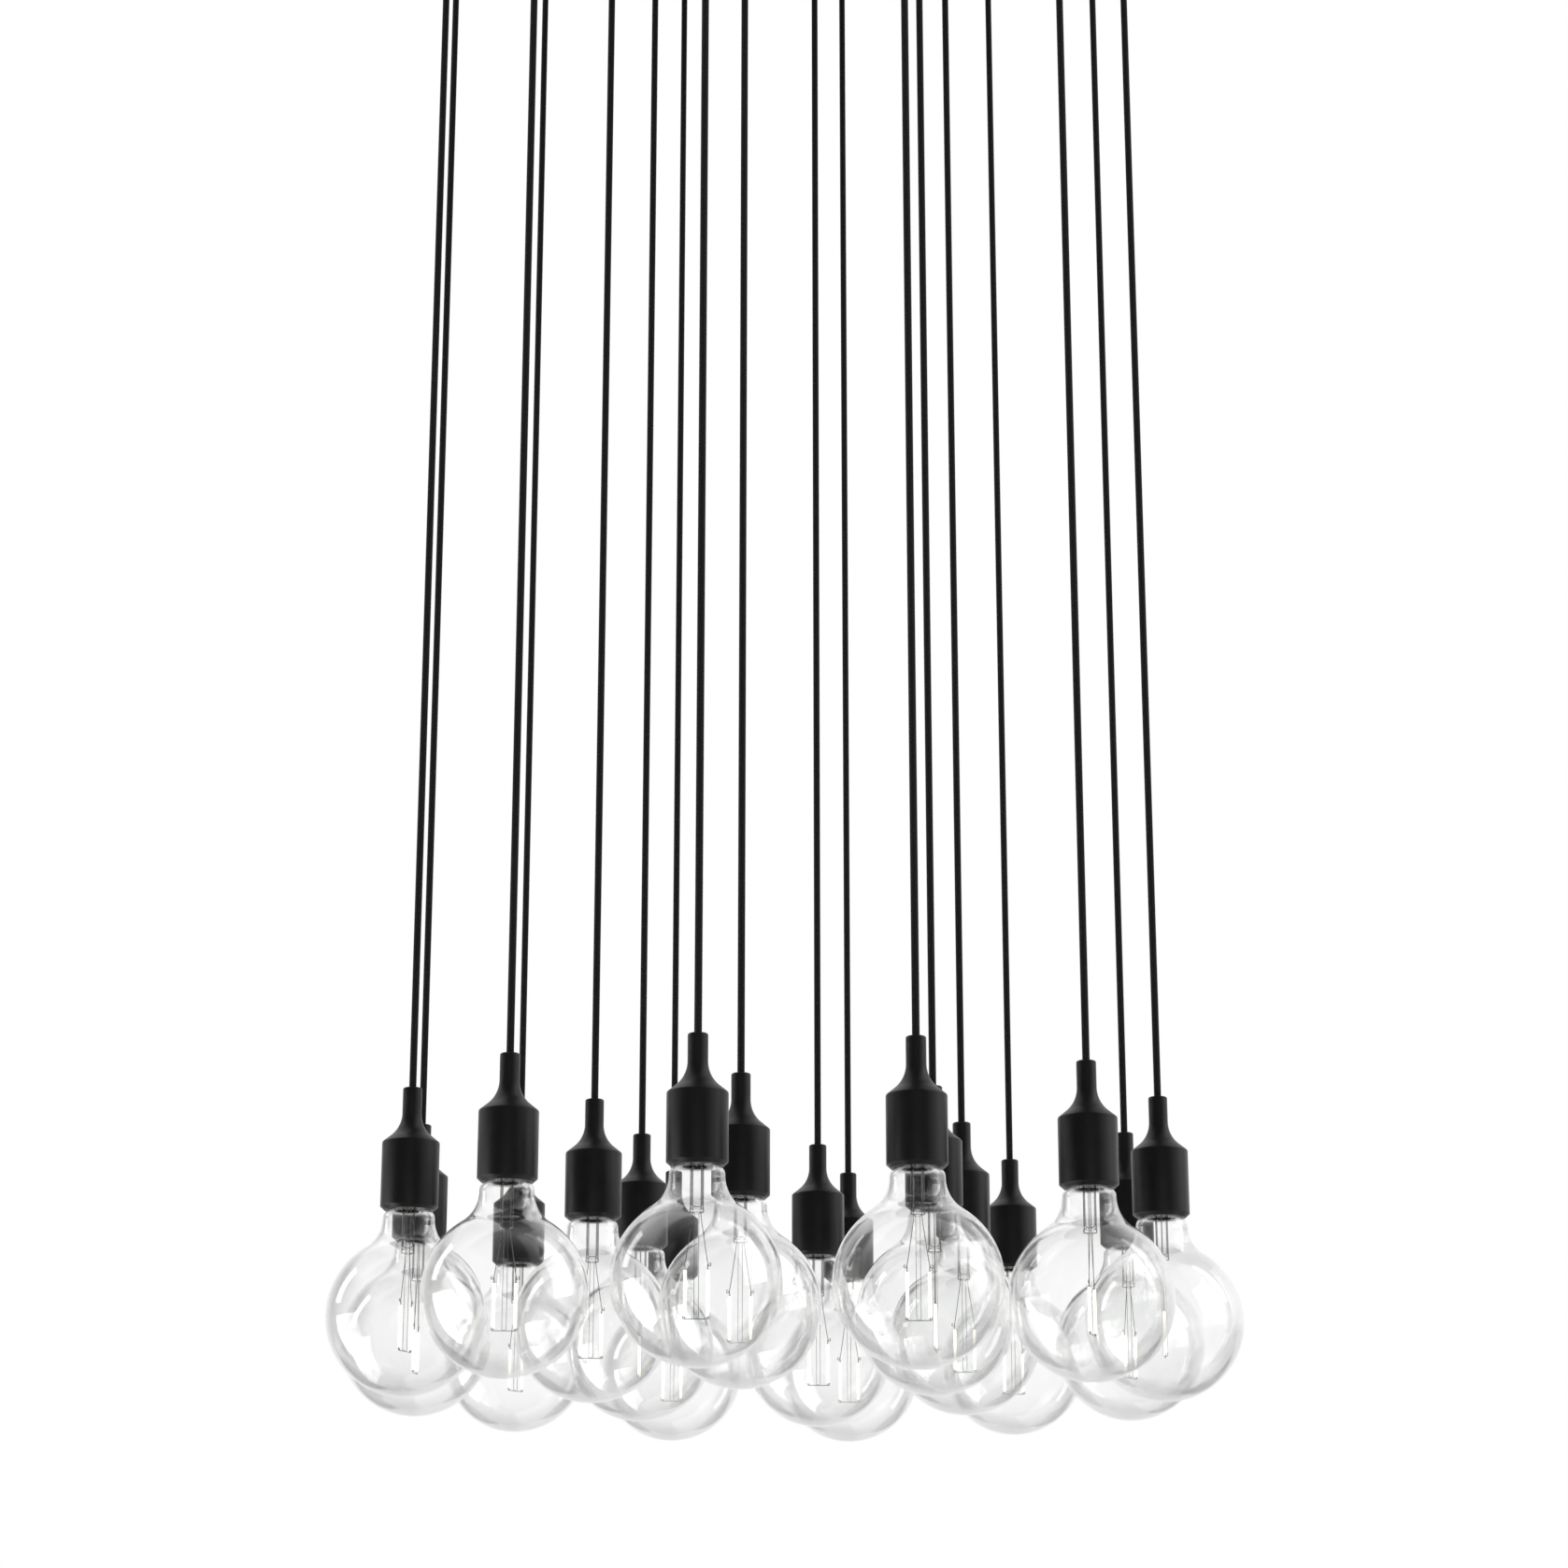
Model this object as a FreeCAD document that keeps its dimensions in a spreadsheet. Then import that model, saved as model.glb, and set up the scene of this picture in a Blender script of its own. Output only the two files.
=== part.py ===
import FreeCAD
import Part
import Sketcher

import math
import os

from FreeCAD import Placement, Rotation, Vector

# A cluster of globe lamps that hang on textile cords from one round ceiling canopy.
# The origin is on the ceiling at the canopy's centre, +Z is up, and the lamps hang at one height
# in an outer and an inner ring. All lengths are in mm and all angles in degrees.

SIZES = {
    # the two rings of lamps
    "ring_turn": 18.6,
    "outer_ring_count": 12,
    "inner_ring_count": 6,
    "inner_ring_gap": 35,
    "between_rings_gap": 25,
    "hang_depth": 1310,
    "swing_out": 10,
    "swing_room": 1,
    # fits between pieces
    "fit": 0.05,
    "slack": 0.3,
    # textile cord
    "cord_diameter": 5.75,
    "cord_in_bush": 6,
    "conductor_diameter": 1.2,
    "conductor_inset": 0.2,
    "conductor_bend_radius": 1,
    # sheet steel canopy, open towards the ceiling
    "canopy_margin": 40,
    "canopy_height": 50,
    "canopy_wall": 1.5,
    "canopy_edge_radius": 7,
    "ceiling_gap": 1,
    # cross-shaped ceiling bracket with turned-down ends
    "bracket_width": 24,
    "bracket_thickness": 3,
    "bracket_turn": 15,
    "lug_height": 18,
    "ceiling_hole_radius": 120,
    "ceiling_hole_diameter": 6,
    "inlet_diameter": 16,
    # side screws that hold the canopy on the bracket
    "side_screw_depth": 12,
    "side_screw_diameter": 4,
    "side_screw_length": 9,
    "screw_head_diameter": 7.6,
    "screw_head_height": 2.4,
    # cord grips in the canopy's floor
    "grip_diameter": 16,
    "grip_length": 20,
    "grip_edge_radius": 1.5,
    "grip_thread_diameter": 9.8,
    "grip_thread_length": 12,
    "grip_nut_width": 14,
    "grip_nut_height": 4.5,
    "grip_pivot_depth": 10,
    "grip_lock_diameter": 3,
    "grip_lock_depth": 4.5,
    # cord tails from the grips to the junction box
    "tail_gap": 1,
    "tail_depth": 12,
    "tail_layer_step": 8.5,
    "tail_in_box": 6,
    # junction box under the bracket
    "box_diameter": 110,
    "box_height": 31,
    "box_wall": 2.5,
    "box_lid_thickness": 2.5,
    "box_lid_rim_height": 3,
    "box_screw_gap": 6,
    "terminal_length": 56,
    "terminal_width": 9,
    "terminal_height": 11,
    "terminal_gap": 4,
    # silicone sleeve of the lampholder
    "sleeve_diameter": 45.5,
    "sleeve_wall": 2.6,
    "sleeve_neck_diameter": 15.2,
    "sleeve_neck_edge_radius": 1.4,
    "sleeve_neck_length": 20.5,
    "sleeve_flare_radius": 23.8,
    "sleeve_shoulder_slope": 39,
    "sleeve_shoulder_radius": 2,
    "sleeve_chamfer_width": 3.2,
    "sleeve_chamfer_height": 3,
    "sleeve_mouth_diameter": 34,
    # moulded lampholder inside the sleeve
    "holder_top_room": 5.9,
    "holder_bush_diameter": 11,
    "holder_bush_length": 9,
    "holder_top_thickness": 12,
    "contact_height": 5.9,
    "contact_diameter": 9,
    "contact_thickness": 1.4,
    "contact_stem_diameter": 1.6,
    "shell_thickness": 0.4,
    "shell_flange_hole": 16,
    # metal cap of the bulb, with its round thread
    "thread_diameter": 26.2,
    "thread_depth": 0.9,
    "thread_pitch": 3.63,
    "thread_turns": 4,
    "cap_skirt_length": 6,
    "cap_cone_height": 4.5,
    "cap_thickness": 0.3,
    "cap_in_mouth": 2.5,
    "cap_end_diameter": 15,
    "tip_diameter": 10,
    "tip_height": 1.4,
    "insulator_edge": 0.6,
    "insulator_height": 2,
    # driver board in the cap
    "driver_width": 14,
    "driver_thickness": 1.6,
    "driver_height": 11,
    # blown glass globe
    "globe_diameter": 125,
    "globe_drop": 83.1,
    "glass_thickness": 0.9,
    "glass_neck_diameter": 41,
    "glass_shoulder_radius": 6,
    "glass_flare_radius": 28,
    # glass stem and rod, wires and filaments inside the globe
    "stem_diameter": 10,
    "stem_wall": 0.9,
    "stem_flare_height": 4,
    "stem_length": 41,
    "bead_diameter": 10.6,
    "bead_height": 3.3,
    "bead_edge_radius": 0.7,
    "rod_diameter": 3.7,
    "rod_length": 76.1,
    "wire_diameter": 0.8,
    "lead_spread": 6,
    "lead_straight": 2,
    "lead_end_length": 6,
    "lead_bend_radius": 4,
    "filament_spread": 16.2,
    "filament_diameter": 2.5,
    "filament_length": 33,
    "hook_height": 2,
    "hook_bend_radius": 0.8,
}

# Where each bulb's pair of filaments points, turned round Z from +X.
FILAMENT_TURNS = {
    "outer": [52, 0, 0, 8, 54, 85, 66, 5, 0, 0, 71, 85],
    "inner": [0, 5, 90, 5, 3, 85],
}

doc = FreeCAD.newDocument("ClusterPendant")
sheet = doc.addObject("Spreadsheet::Sheet", "Sizes")
for row, (alias, number) in enumerate(SIZES.items(), start=1):
    sheet.set(f"A{row}", alias)
    sheet.set(f"B{row}", str(number))
    sheet.setAlias(f"B{row}", alias)
doc.recompute()


# ---- Sizes that keep the expression they come from ----

class Size:
    """A number, and the expression over the sheet's cells that gives it."""

    def __init__(self, value, text):
        self.value = value
        self.text = text

    def __add__(self, other):
        other = as_size(other)
        return Size(self.value + other.value, f"({self.text} + {other.text})")

    def __sub__(self, other):
        other = as_size(other)
        return Size(self.value - other.value, f"({self.text} - {other.text})")

    def __mul__(self, other):
        other = as_size(other)
        return Size(self.value * other.value, f"({self.text} * {other.text})")

    def __truediv__(self, other):
        other = as_size(other)
        return Size(self.value / other.value, f"({self.text} / {other.text})")

    def __neg__(self):
        return Size(-self.value, f"(-1 * {self.text})")


def as_size(number):
    return number if isinstance(number, Size) else Size(float(number), str(number))


def size(alias):
    """The value of one cell of the sheet."""
    return Size(float(getattr(sheet, alias)), f"Sizes.{alias}")


def root(a):
    return Size(math.sqrt(a.value), f"sqrt({a.text})")


def cosine(a):
    return Size(math.cos(math.radians(a.value)), f"cos({a.text})")


def sine(a):
    return Size(math.sin(math.radians(a.value)), f"sin({a.text})")


def tangent(a):
    return Size(math.tan(math.radians(a.value)), f"tan({a.text})")


def bind(thing, **sizes):
    """Sets properties of a document object and ties them to the sheet."""
    for name, amount in sizes.items():
        setattr(thing, name, amount.value)
        thing.setExpression(name, amount.text)
    return thing


# ---- Sketches and bodies ----

class Step:
    """A corner of an outline and the edge that leads to it: straight, or an arc of a radius whose
    centre lies to the left or the right on the way there."""

    def __init__(self, across, up, radius=None, left=True):
        self.across = as_size(across)
        self.up = as_size(up)
        self.radius = radius
        self.left = left


def origin_feature(body, role):
    return next(f for f in body.Origin.OriginFeatures if f.Role == role)


def new_sketch(body, name, role):
    sketch = body.newObject("Sketcher::SketchObject", name)
    sketch.AttachmentSupport = [(origin_feature(body, role), "")]
    sketch.MapMode = "FlatFace"
    return sketch


def tie(sketch, name, constraint, amount):
    """Adds a constraint whose value follows the sheet."""
    made = sketch.addConstraint(constraint)
    sketch.renameConstraint(made, name)
    sketch.setExpression(f"Constraints.{name}", amount.text)


def tie_point(sketch, name, edge, end, step):
    """Ties a point's two coordinates to the sheet, or puts it on an axis."""
    for kind, axis, amount in (("DistanceX", -2, step.across), ("DistanceY", -1, step.up)):
        if abs(amount.value) < 1e-9:
            sketch.addConstraint(Sketcher.Constraint("PointOnObject", edge, end, axis))
        else:
            fixed = Sketcher.Constraint(kind, -1, 1, edge, end, amount.value)
            tie(sketch, f"{name}{kind[-1]}", fixed, amount)


def arc_between(start, end, radius, left):
    """The short arc between two points, and whether it is drawn from its end to its start."""
    middle = (start + end) * 0.5
    away = math.sqrt(max(radius**2 - (end - start).Length**2 / 4, 0))
    side = Vector(start.y - end.y, end.x - start.x, 0).normalize()
    centre = middle + side * (away if left else -away)
    first, last = (start, end) if left else (end, start)
    angles = [math.atan2(p.y - centre.y, p.x - centre.x) for p in (first, last)]
    if angles[1] <= angles[0]:
        angles[1] += 2 * math.pi
    return Part.ArcOfCircle(Part.Circle(centre, Vector(0, 0, 1), radius), *angles)


def draw(sketch, steps):
    """Draws a closed outline through the steps, each corner and arc tied to the sheet."""
    ends = []
    for before, step in zip(steps[-1:] + steps[:-1], steps):
        start = Vector(before.across.value, before.up.value, 0)
        end = Vector(step.across.value, step.up.value, 0)
        if step.radius is None:
            edge = sketch.addGeometry(Part.LineSegment(start, end), False)
        else:
            arc = arc_between(start, end, step.radius.value, step.left)
            edge = sketch.addGeometry(arc, False)
        backwards = step.radius is not None and not step.left
        ends.append((edge, 2, 1) if backwards else (edge, 1, 2))
    for n, (edge, _, end) in enumerate(ends):
        after, start, _ = ends[(n + 1) % len(ends)]
        sketch.addConstraint(Sketcher.Constraint("Coincident", edge, end, after, start))
        tie_point(sketch, f"corner{n}", edge, end, steps[n])
    for n, step in enumerate(steps):
        if step.radius is not None:
            fixed = Sketcher.Constraint("Radius", ends[n][0], step.radius.value)
            tie(sketch, f"radius{n}", fixed, step.radius)


def turned(name, steps):
    """A body made by turning an outline round the Z axis."""
    body = doc.addObject("PartDesign::Body", name)
    outline = new_sketch(body, f"{name}_outline", "XZ_Plane")
    draw(outline, steps)
    feature = body.newObject("PartDesign::Revolution", f"{name}_turned")
    feature.Profile = outline
    feature.ReferenceAxis = (outline, ["V_Axis"])
    feature.Angle = 360
    return body


def bored(body, name, role, place, diameter, depth, forwards=False):
    """Cuts a round hole in a body from one of its origin planes."""
    sketch = new_sketch(body, f"{name}_circle", role)
    centre = Vector(place.across.value, place.up.value, 0)
    radius = diameter / 2
    sketch.addGeometry(Part.Circle(centre, Vector(0, 0, 1), radius.value), False)
    tie_point(sketch, "centre", 0, 3, place)
    tie(sketch, "hole", Sketcher.Constraint("Radius", 0, radius.value), radius)
    pocket = body.newObject("PartDesign::Pocket", name)
    pocket.Profile = sketch
    pocket.Reversed = forwards
    return bind(pocket, Length=depth)


def repeated(body, feature, count):
    """Repeats a feature at even steps all round the Z axis."""
    pattern = body.newObject("PartDesign::PolarPattern", f"{feature.Name}_all_round")
    pattern.Originals = [feature]
    pattern.Axis = (origin_feature(body, "Z_Axis"), [""])
    pattern.Angle = 360
    pattern.Occurrences = int(count.value)
    pattern.setExpression("Occurrences", count.text)
    body.Tip = pattern


# ---- Part primitives, groups and bent rods ----

def solid_box(name, length, width, height, corner):
    box = bind(doc.addObject("Part::Box", name), Length=length, Width=width, Height=height)
    box.Placement = Placement(corner, Rotation())
    return box


def solid_cylinder(name, radius, height, foot):
    cylinder = bind(doc.addObject("Part::Cylinder", name), Radius=radius, Height=height)
    cylinder.Placement = Placement(foot, Rotation())
    return cylinder


def fused(name, pieces):
    made = doc.addObject("Part::MultiFuse", name)
    made.Shapes = pieces
    return made


def cut(name, base, tool):
    made = doc.addObject("Part::Cut", name)
    made.Base = base
    made.Tool = tool
    return made


def group(name, pieces, place):
    """One named sub-part made of several pieces, set where it belongs."""
    made = doc.addObject("Part::Compound", name)
    made.Label = name
    made.Links = pieces
    made.Placement = place
    return made


def copies(piece, places):
    """One copy of a piece at each place."""
    return [group(f"{piece.Name}_{n:02d}", [piece], at) for n, at in enumerate(places, start=1)]


def rod_along(points, bends, diameter):
    """A round rod on straight runs that are joined by tangent arcs."""
    edges = []
    start = points[0]
    for before, corner, after, radius in zip(points, points[1:], points[2:], bends):
        back = (before - corner).normalize()
        on = (after - corner).normalize()
        half = back.getAngle(on) / 2
        first = corner + back * (radius / math.tan(half))
        last = corner + on * (radius / math.tan(half))
        centre = corner + (back + on).normalize() * (radius / math.sin(half))
        middle = centre + (corner - centre).normalize() * radius
        edges.append(Part.LineSegment(start, first).toShape())
        edges.append(Part.Arc(first, middle, last).toShape())
        start = last
    edges.append(Part.LineSegment(start, points[-1]).toShape())
    path = Part.Wire(edges)
    section = Part.Wire(Part.Circle(points[0], points[1] - points[0], diameter / 2).toShape())
    rod = path.makePipeShell([section], True, False)
    ideal = math.pi * diameter**2 / 4 * path.Length
    print(f"rod of {path.Length:.1f} mm, bend radii {bends}, volume {rod.Volume / ideal:.6f} of ideal")
    return rod


def shaped(name, shape):
    """A piece whose bent shape this file works out itself."""
    made = doc.addObject("Part::Feature", name)
    made.Shape = shape
    return made


def round_z(angle, point=Vector(), turn=0.0):
    """A point swung round Z by an angle, and the piece there turned with it."""
    swung = Rotation(Vector(0, 0, 1), angle)
    return Placement(swung.multVec(point), Rotation(Vector(0, 0, 1), angle + turn))


# ---- Levels and radii that more than one piece is built to ----

fit = size("fit")
slack = size("slack")
cord_radius = size("cord_diameter") / 2
cord_bore = cord_radius + fit
lamp_spacing = size("globe_diameter") + size("inner_ring_gap")
inner_radius = lamp_spacing / (sine(as_size(180) / size("inner_ring_count")) * 2)
outer_radius = inner_radius + size("globe_diameter") + size("between_rings_gap")
ring_radius = {"outer": outer_radius, "inner": inner_radius}
canopy_radius = outer_radius + size("canopy_margin")
canopy_wall = size("canopy_wall")
floor_level = -size("canopy_height")
floor_top = floor_level + canopy_wall
wall_inside = canopy_radius - canopy_wall
pivot_level = floor_level - size("grip_pivot_depth")
tail_level = pivot_level + size("tail_gap")
grip_top = floor_level + size("grip_thread_length")
outer_tail_level = -size("tail_depth")
inner_tail_level = outer_tail_level - size("tail_layer_step")
tail_levels = {"outer": outer_tail_level, "inner": inner_tail_level}
bracket_level = -size("bracket_thickness")
box_floor = bracket_level - size("box_height")
box_screw_radius = size("terminal_length") / 2 + size("box_screw_gap")
side_screw_level = -size("side_screw_depth")
screw_radius = size("side_screw_diameter") / 2
lamp_level = -size("hang_depth")
ring_angle = size("ring_turn").value
bracket_angle = ring_angle + size("bracket_turn").value

sleeve_radius = size("sleeve_diameter") / 2
sleeve_inside = sleeve_radius - size("sleeve_wall")
neck_radius = size("sleeve_neck_diameter") / 2
neck_end = -size("sleeve_neck_length")
flare = size("sleeve_flare_radius")
slope = size("sleeve_shoulder_slope")
corner = size("sleeve_shoulder_radius")
flare_end = neck_radius + flare * (as_size(1) - sine(slope))
flare_foot = neck_end - flare * cosine(slope)
shoulder_end = sleeve_radius - corner * (as_size(1) - sine(slope))
shoulder_level = flare_foot - (shoulder_end - flare_end) * tangent(slope)
shoulder_foot = shoulder_level - corner * cosine(slope)

holder_top = shoulder_foot - size("holder_top_room")
bush_top = holder_top + size("holder_bush_length")
bush_radius = size("holder_bush_diameter") / 2
chamber_top = holder_top - size("holder_top_thickness")
cord_end = bush_top - size("cord_in_bush")
tip_top = chamber_top - size("contact_height")
tip_bottom = tip_top - size("tip_height")
cap_end = tip_bottom - size("insulator_edge")
cap_end_radius = size("cap_end_diameter") / 2
insulator_bottom = cap_end - size("insulator_height")
thread_top = cap_end - size("cap_cone_height")
thread_crest = size("thread_diameter") / 2
thread_middle = thread_crest - size("thread_depth") / 2
skirt_top = thread_top - size("thread_pitch") * size("thread_turns")
cap_rim = skirt_top - size("cap_skirt_length")
sleeve_bottom = cap_rim - size("cap_in_mouth")
lip_level = sleeve_bottom + size("sleeve_chamfer_height")

globe_level = sleeve_bottom - size("globe_drop")
stub_radius = thread_crest - size("cap_thickness") - fit
stub_inside = stub_radius - size("glass_thickness")
stub_top = skirt_top - size("cap_thickness") * 2
stem_top = stub_top - size("glass_thickness")
stem_end = stem_top - size("stem_length")
rod_end = stem_end - size("rod_length")
hook_level = rod_end - size("wire_diameter") / 2
filament_foot = hook_level + size("hook_height")
filament_head = filament_foot + size("filament_length")
filament_reach = size("filament_spread") / 2
driver_foot = insulator_bottom - size("driver_height")


def thread_steps(middle, start, upwards):
    """The round thread's outline: half waves that lean out and in by turns."""
    half_pitch = size("thread_pitch") / 2
    sag = size("thread_depth") / 2
    radius = (half_pitch * half_pitch / 4 + sag * sag) / (sag * 2)
    count = int(size("thread_turns").value) * 2
    steps = []
    for n in range(1, count + 1):
        level = start + half_pitch * (n if upwards else -n)
        outwards = n % 2 == (1 if upwards else 0)
        steps.append(Step(middle, level, radius, outwards == upwards))
    return steps


# ---- Lamp: cord, lampholder and bulb, built from the top of the sleeve at Z 0 ----

def make_sleeve():
    neck_edge = size("sleeve_neck_edge_radius")
    mouth = size("sleeve_mouth_diameter") / 2
    return turned("sleeve", [
        Step(cord_bore, 0),
        Step(cord_bore, bush_top),
        Step(bush_radius + fit, bush_top),
        Step(sleeve_inside, holder_top),
        Step(sleeve_inside, lip_level),
        Step(mouth, lip_level),
        Step(mouth, sleeve_bottom),
        Step(sleeve_radius - size("sleeve_chamfer_width"), sleeve_bottom),
        Step(sleeve_radius, lip_level),
        Step(sleeve_radius, shoulder_foot),
        Step(shoulder_end, shoulder_level, corner, True),
        Step(flare_end, flare_foot),
        Step(neck_radius, neck_end, flare, False),
        Step(neck_radius, -neck_edge),
        Step(neck_radius - neck_edge, 0, neck_edge, True),
    ])


def make_holder():
    """The moulded insert, its threaded shell, its centre contact and the two conductors."""
    shell = size("shell_thickness")
    shell_radius = thread_crest + slack + shell
    shell_top = chamber_top - size("conductor_diameter") - fit * 2
    shell_middle = thread_middle + slack
    insert = turned("holder_insert", [
        Step(cord_bore, bush_top),
        Step(cord_bore, chamber_top),
        Step(shell_radius, chamber_top),
        Step(shell_radius, lip_level),
        Step(sleeve_inside - fit, lip_level),
        Step(sleeve_inside - fit, holder_top),
        Step(bush_radius, bush_top),
    ])
    flange_hole = size("shell_flange_hole") / 2
    threaded_shell = turned("holder_shell", [
        Step(flange_hole, shell_top),
        Step(flange_hole, shell_top - shell),
        Step(shell_middle, shell_top - shell),
        Step(shell_middle, thread_top),
        *thread_steps(shell_middle, thread_top, False),
        Step(shell_middle + shell, skirt_top),
        *thread_steps(shell_middle + shell, skirt_top, True),
        Step(shell_middle + shell, shell_top - shell),
        Step(shell_radius, shell_top - shell),
        Step(shell_radius, shell_top),
    ])
    stem_radius = size("contact_stem_diameter") / 2
    contact_radius = size("contact_diameter") / 2
    contact = turned("holder_contact", [
        Step(0, cord_end),
        Step(0, tip_top),
        Step(contact_radius, tip_top),
        Step(contact_radius, tip_top + size("contact_thickness")),
        Step(stem_radius, shell_top - shell),
        Step(stem_radius, cord_end),
    ])
    conductor = size("conductor_diameter").value
    offset = cord_radius.value - conductor / 2 - size("conductor_inset").value
    flange_level = shell_top.value + conductor / 2
    conductor_path = [
        Vector(offset, 0, cord_end.value),
        Vector(offset, 0, flange_level),
        Vector(flange_hole.value + conductor, 0, flange_level),
    ]
    bend = size("conductor_bend_radius").value
    wire = shaped("holder_conductor", rod_along(conductor_path, [bend], conductor))
    return [insert, threaded_shell, contact, wire]


def make_cap():
    """The bulb's metal cap, its glass insulator, its tip and the driver board in it."""
    wall = size("cap_thickness")
    cap = turned("bulb_cap", [
        Step(thread_crest, cap_rim),
        Step(thread_crest, skirt_top),
        Step(thread_middle, skirt_top),
        *thread_steps(thread_middle, skirt_top, True),
        Step(cap_end_radius + wall, cap_end),
        Step(cap_end_radius, cap_end),
        Step(thread_middle - wall, thread_top),
        *thread_steps(thread_middle - wall, thread_top, False),
        Step(thread_middle - wall, skirt_top - wall),
        Step(thread_crest - wall, skirt_top - wall),
        Step(thread_crest - wall, cap_rim),
    ])
    cone_lean = (thread_middle - wall - cap_end_radius) / (cap_end - thread_top)
    insulator = turned("bulb_insulator", [
        Step(0, tip_bottom),
        Step(0, insulator_bottom),
        Step(cap_end_radius + cone_lean * size("insulator_height"), insulator_bottom),
        Step(cap_end_radius, cap_end),
        Step(cap_end_radius, tip_bottom),
    ])
    tip_radius = size("tip_diameter") / 2
    half_tip = size("tip_height") / 2
    tip = turned("bulb_tip", [
        Step(0, tip_bottom),
        Step(tip_radius, tip_bottom),
        Step(tip_radius, tip_bottom + half_tip),
        Step(tip_radius - size("tip_height"), tip_top),
        Step(0, tip_top),
    ])
    width = size("driver_width")
    thickness = size("driver_thickness")
    corner = Vector(-width.value / 2, -thickness.value / 2, driver_foot.value)
    driver = solid_box("bulb_driver", width, thickness, size("driver_height"), corner)
    return [cap, insulator, tip, driver]


def make_globe():
    """The blown glass envelope: globe, flare, neck, shoulder and the stub inside the cap."""
    wall = size("glass_thickness")
    radius = size("globe_diameter") / 2
    neck = size("glass_neck_diameter") / 2
    shoulder = size("glass_shoulder_radius")
    flare = size("glass_flare_radius")
    flare_across = neck + flare
    reach = radius + flare
    flare_level = globe_level + root(reach * reach - flare_across * flare_across)
    share = radius / reach
    inner_share = (radius - wall) / reach
    rise = flare_level - globe_level
    shoulder_level = sleeve_bottom - shoulder
    return turned("bulb_globe", [
        Step(0, globe_level - radius),
        Step(flare_across * share, globe_level + rise * share, radius, True),
        Step(neck, flare_level, flare, False),
        Step(neck, shoulder_level),
        Step(neck - shoulder, sleeve_bottom, shoulder, True),
        Step(stub_radius, sleeve_bottom),
        Step(stub_radius, stub_top),
        Step(stub_inside, stub_top),
        Step(stub_inside, sleeve_bottom - wall),
        Step(neck - shoulder, sleeve_bottom - wall),
        Step(neck - wall, shoulder_level, shoulder - wall, False),
        Step(neck - wall, flare_level),
        Step(flare_across * inner_share, globe_level + rise * inner_share, flare + wall, True),
        Step(0, globe_level - radius + wall, radius - wall, False),
    ])


def make_stem():
    """The glass stem, flared on to the neck's stub, with its bead and its centre rod."""
    wall = size("stem_wall")
    stem = size("stem_diameter") / 2
    rod = size("rod_diameter") / 2
    bead = size("bead_diameter") / 2
    edge = size("bead_edge_radius")
    bead_top = stem_end + size("bead_height")
    flare_foot = stem_top - size("stem_flare_height") - wall
    bore_end = bead_top + wall
    return turned("bulb_stem", [
        Step(0, rod_end),
        Step(rod, rod_end),
        Step(rod, stem_end),
        Step(bead - edge, stem_end),
        Step(bead, stem_end + edge, edge, True),
        Step(bead, bead_top - edge),
        Step(bead - edge, bead_top, edge, True),
        Step(stem - edge, bead_top),
        Step(stem, bead_top + edge, edge, True),
        Step(stem, flare_foot),
        Step(stub_inside, stem_top - wall),
        Step(stub_inside, stem_top),
        Step(stub_inside - wall, stem_top),
        Step(stem - wall, flare_foot),
        Step(stem - wall, bore_end),
        Step(0, bore_end),
    ])


def make_wires():
    """Two lead wires from the driver board to the filaments, and the cross wire under them."""
    wire = size("wire_diameter").value
    reach = filament_reach.value
    lead = size("lead_spread").value / 2
    bend = size("lead_bend_radius").value
    straight_end = stem_end.value - size("lead_straight").value
    lead_end = filament_head.value + size("lead_end_length").value
    pieces = []
    for side, name in ((-1, "left"), (1, "right")):
        path = [
            Vector(side * lead, 0, driver_foot.value),
            Vector(side * lead, 0, straight_end),
            Vector(side * reach, 0, lead_end),
            Vector(side * reach, 0, filament_head.value),
        ]
        pieces.append(shaped(f"bulb_lead_{name}", rod_along(path, [bend, bend], wire)))
    hook = size("hook_bend_radius").value
    path = [
        Vector(-reach, 0, filament_foot.value),
        Vector(-reach, 0, hook_level.value),
        Vector(reach, 0, hook_level.value),
        Vector(reach, 0, filament_foot.value),
    ]
    pieces.append(shaped("bulb_cross_wire", rod_along(path, [hook, hook], wire)))
    return pieces


def make_filaments():
    radius = size("filament_diameter") / 2
    length = size("filament_length")
    feet = [Vector(side * filament_reach.value, 0, filament_foot.value) for side in (-1, 1)]
    names = ("bulb_filament_left", "bulb_filament_right")
    return [solid_cylinder(name, radius, length, foot) for name, foot in zip(names, feet)]


def lamp_places():
    """Each lamp's number, place on its ring, angle round Z and the turn of its filaments."""
    number = 0
    for ring, turns in FILAMENT_TURNS.items():
        count = int(size(f"{ring}_ring_count").value)
        for n in range(count):
            number += 1
            angle = ring_angle + 360 * n / count
            yield f"{number:02d}", ring, angle, turns[n % len(turns)]


def make_lamps():
    """One cord, one lampholder and one bulb for each place on the two rings."""
    lampholder = [make_sleeve(), *make_holder()]
    wires = make_wires()
    leads = fused("bulb_leads", wires[:2])
    stem = cut("bulb_stem_drilled", make_stem(), leads)
    bulb = [*make_cap(), make_globe(), stem, *wires, *make_filaments()]
    cord_length = pivot_level - lamp_level - cord_end
    nodes = []
    for number, ring, angle, turn in lamp_places():
        across = ring_radius[ring].value
        foot = round_z(angle, Vector(across, 0, (lamp_level + cord_end).value)).Base
        cord = solid_cylinder(f"cord_{number}", cord_radius, cord_length, foot)
        cord.Label = f"cord_{number}"
        top = Vector(across, 0, lamp_level.value)
        nodes.append(cord)
        nodes.append(group(f"lampholder_{number}", lampholder, round_z(angle, top)))
        nodes.append(group(f"bulb_{number}", bulb, round_z(angle, top, turn - angle)))
    return nodes


# ---- Canopy and what it holds, in place under the ceiling ----

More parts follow.
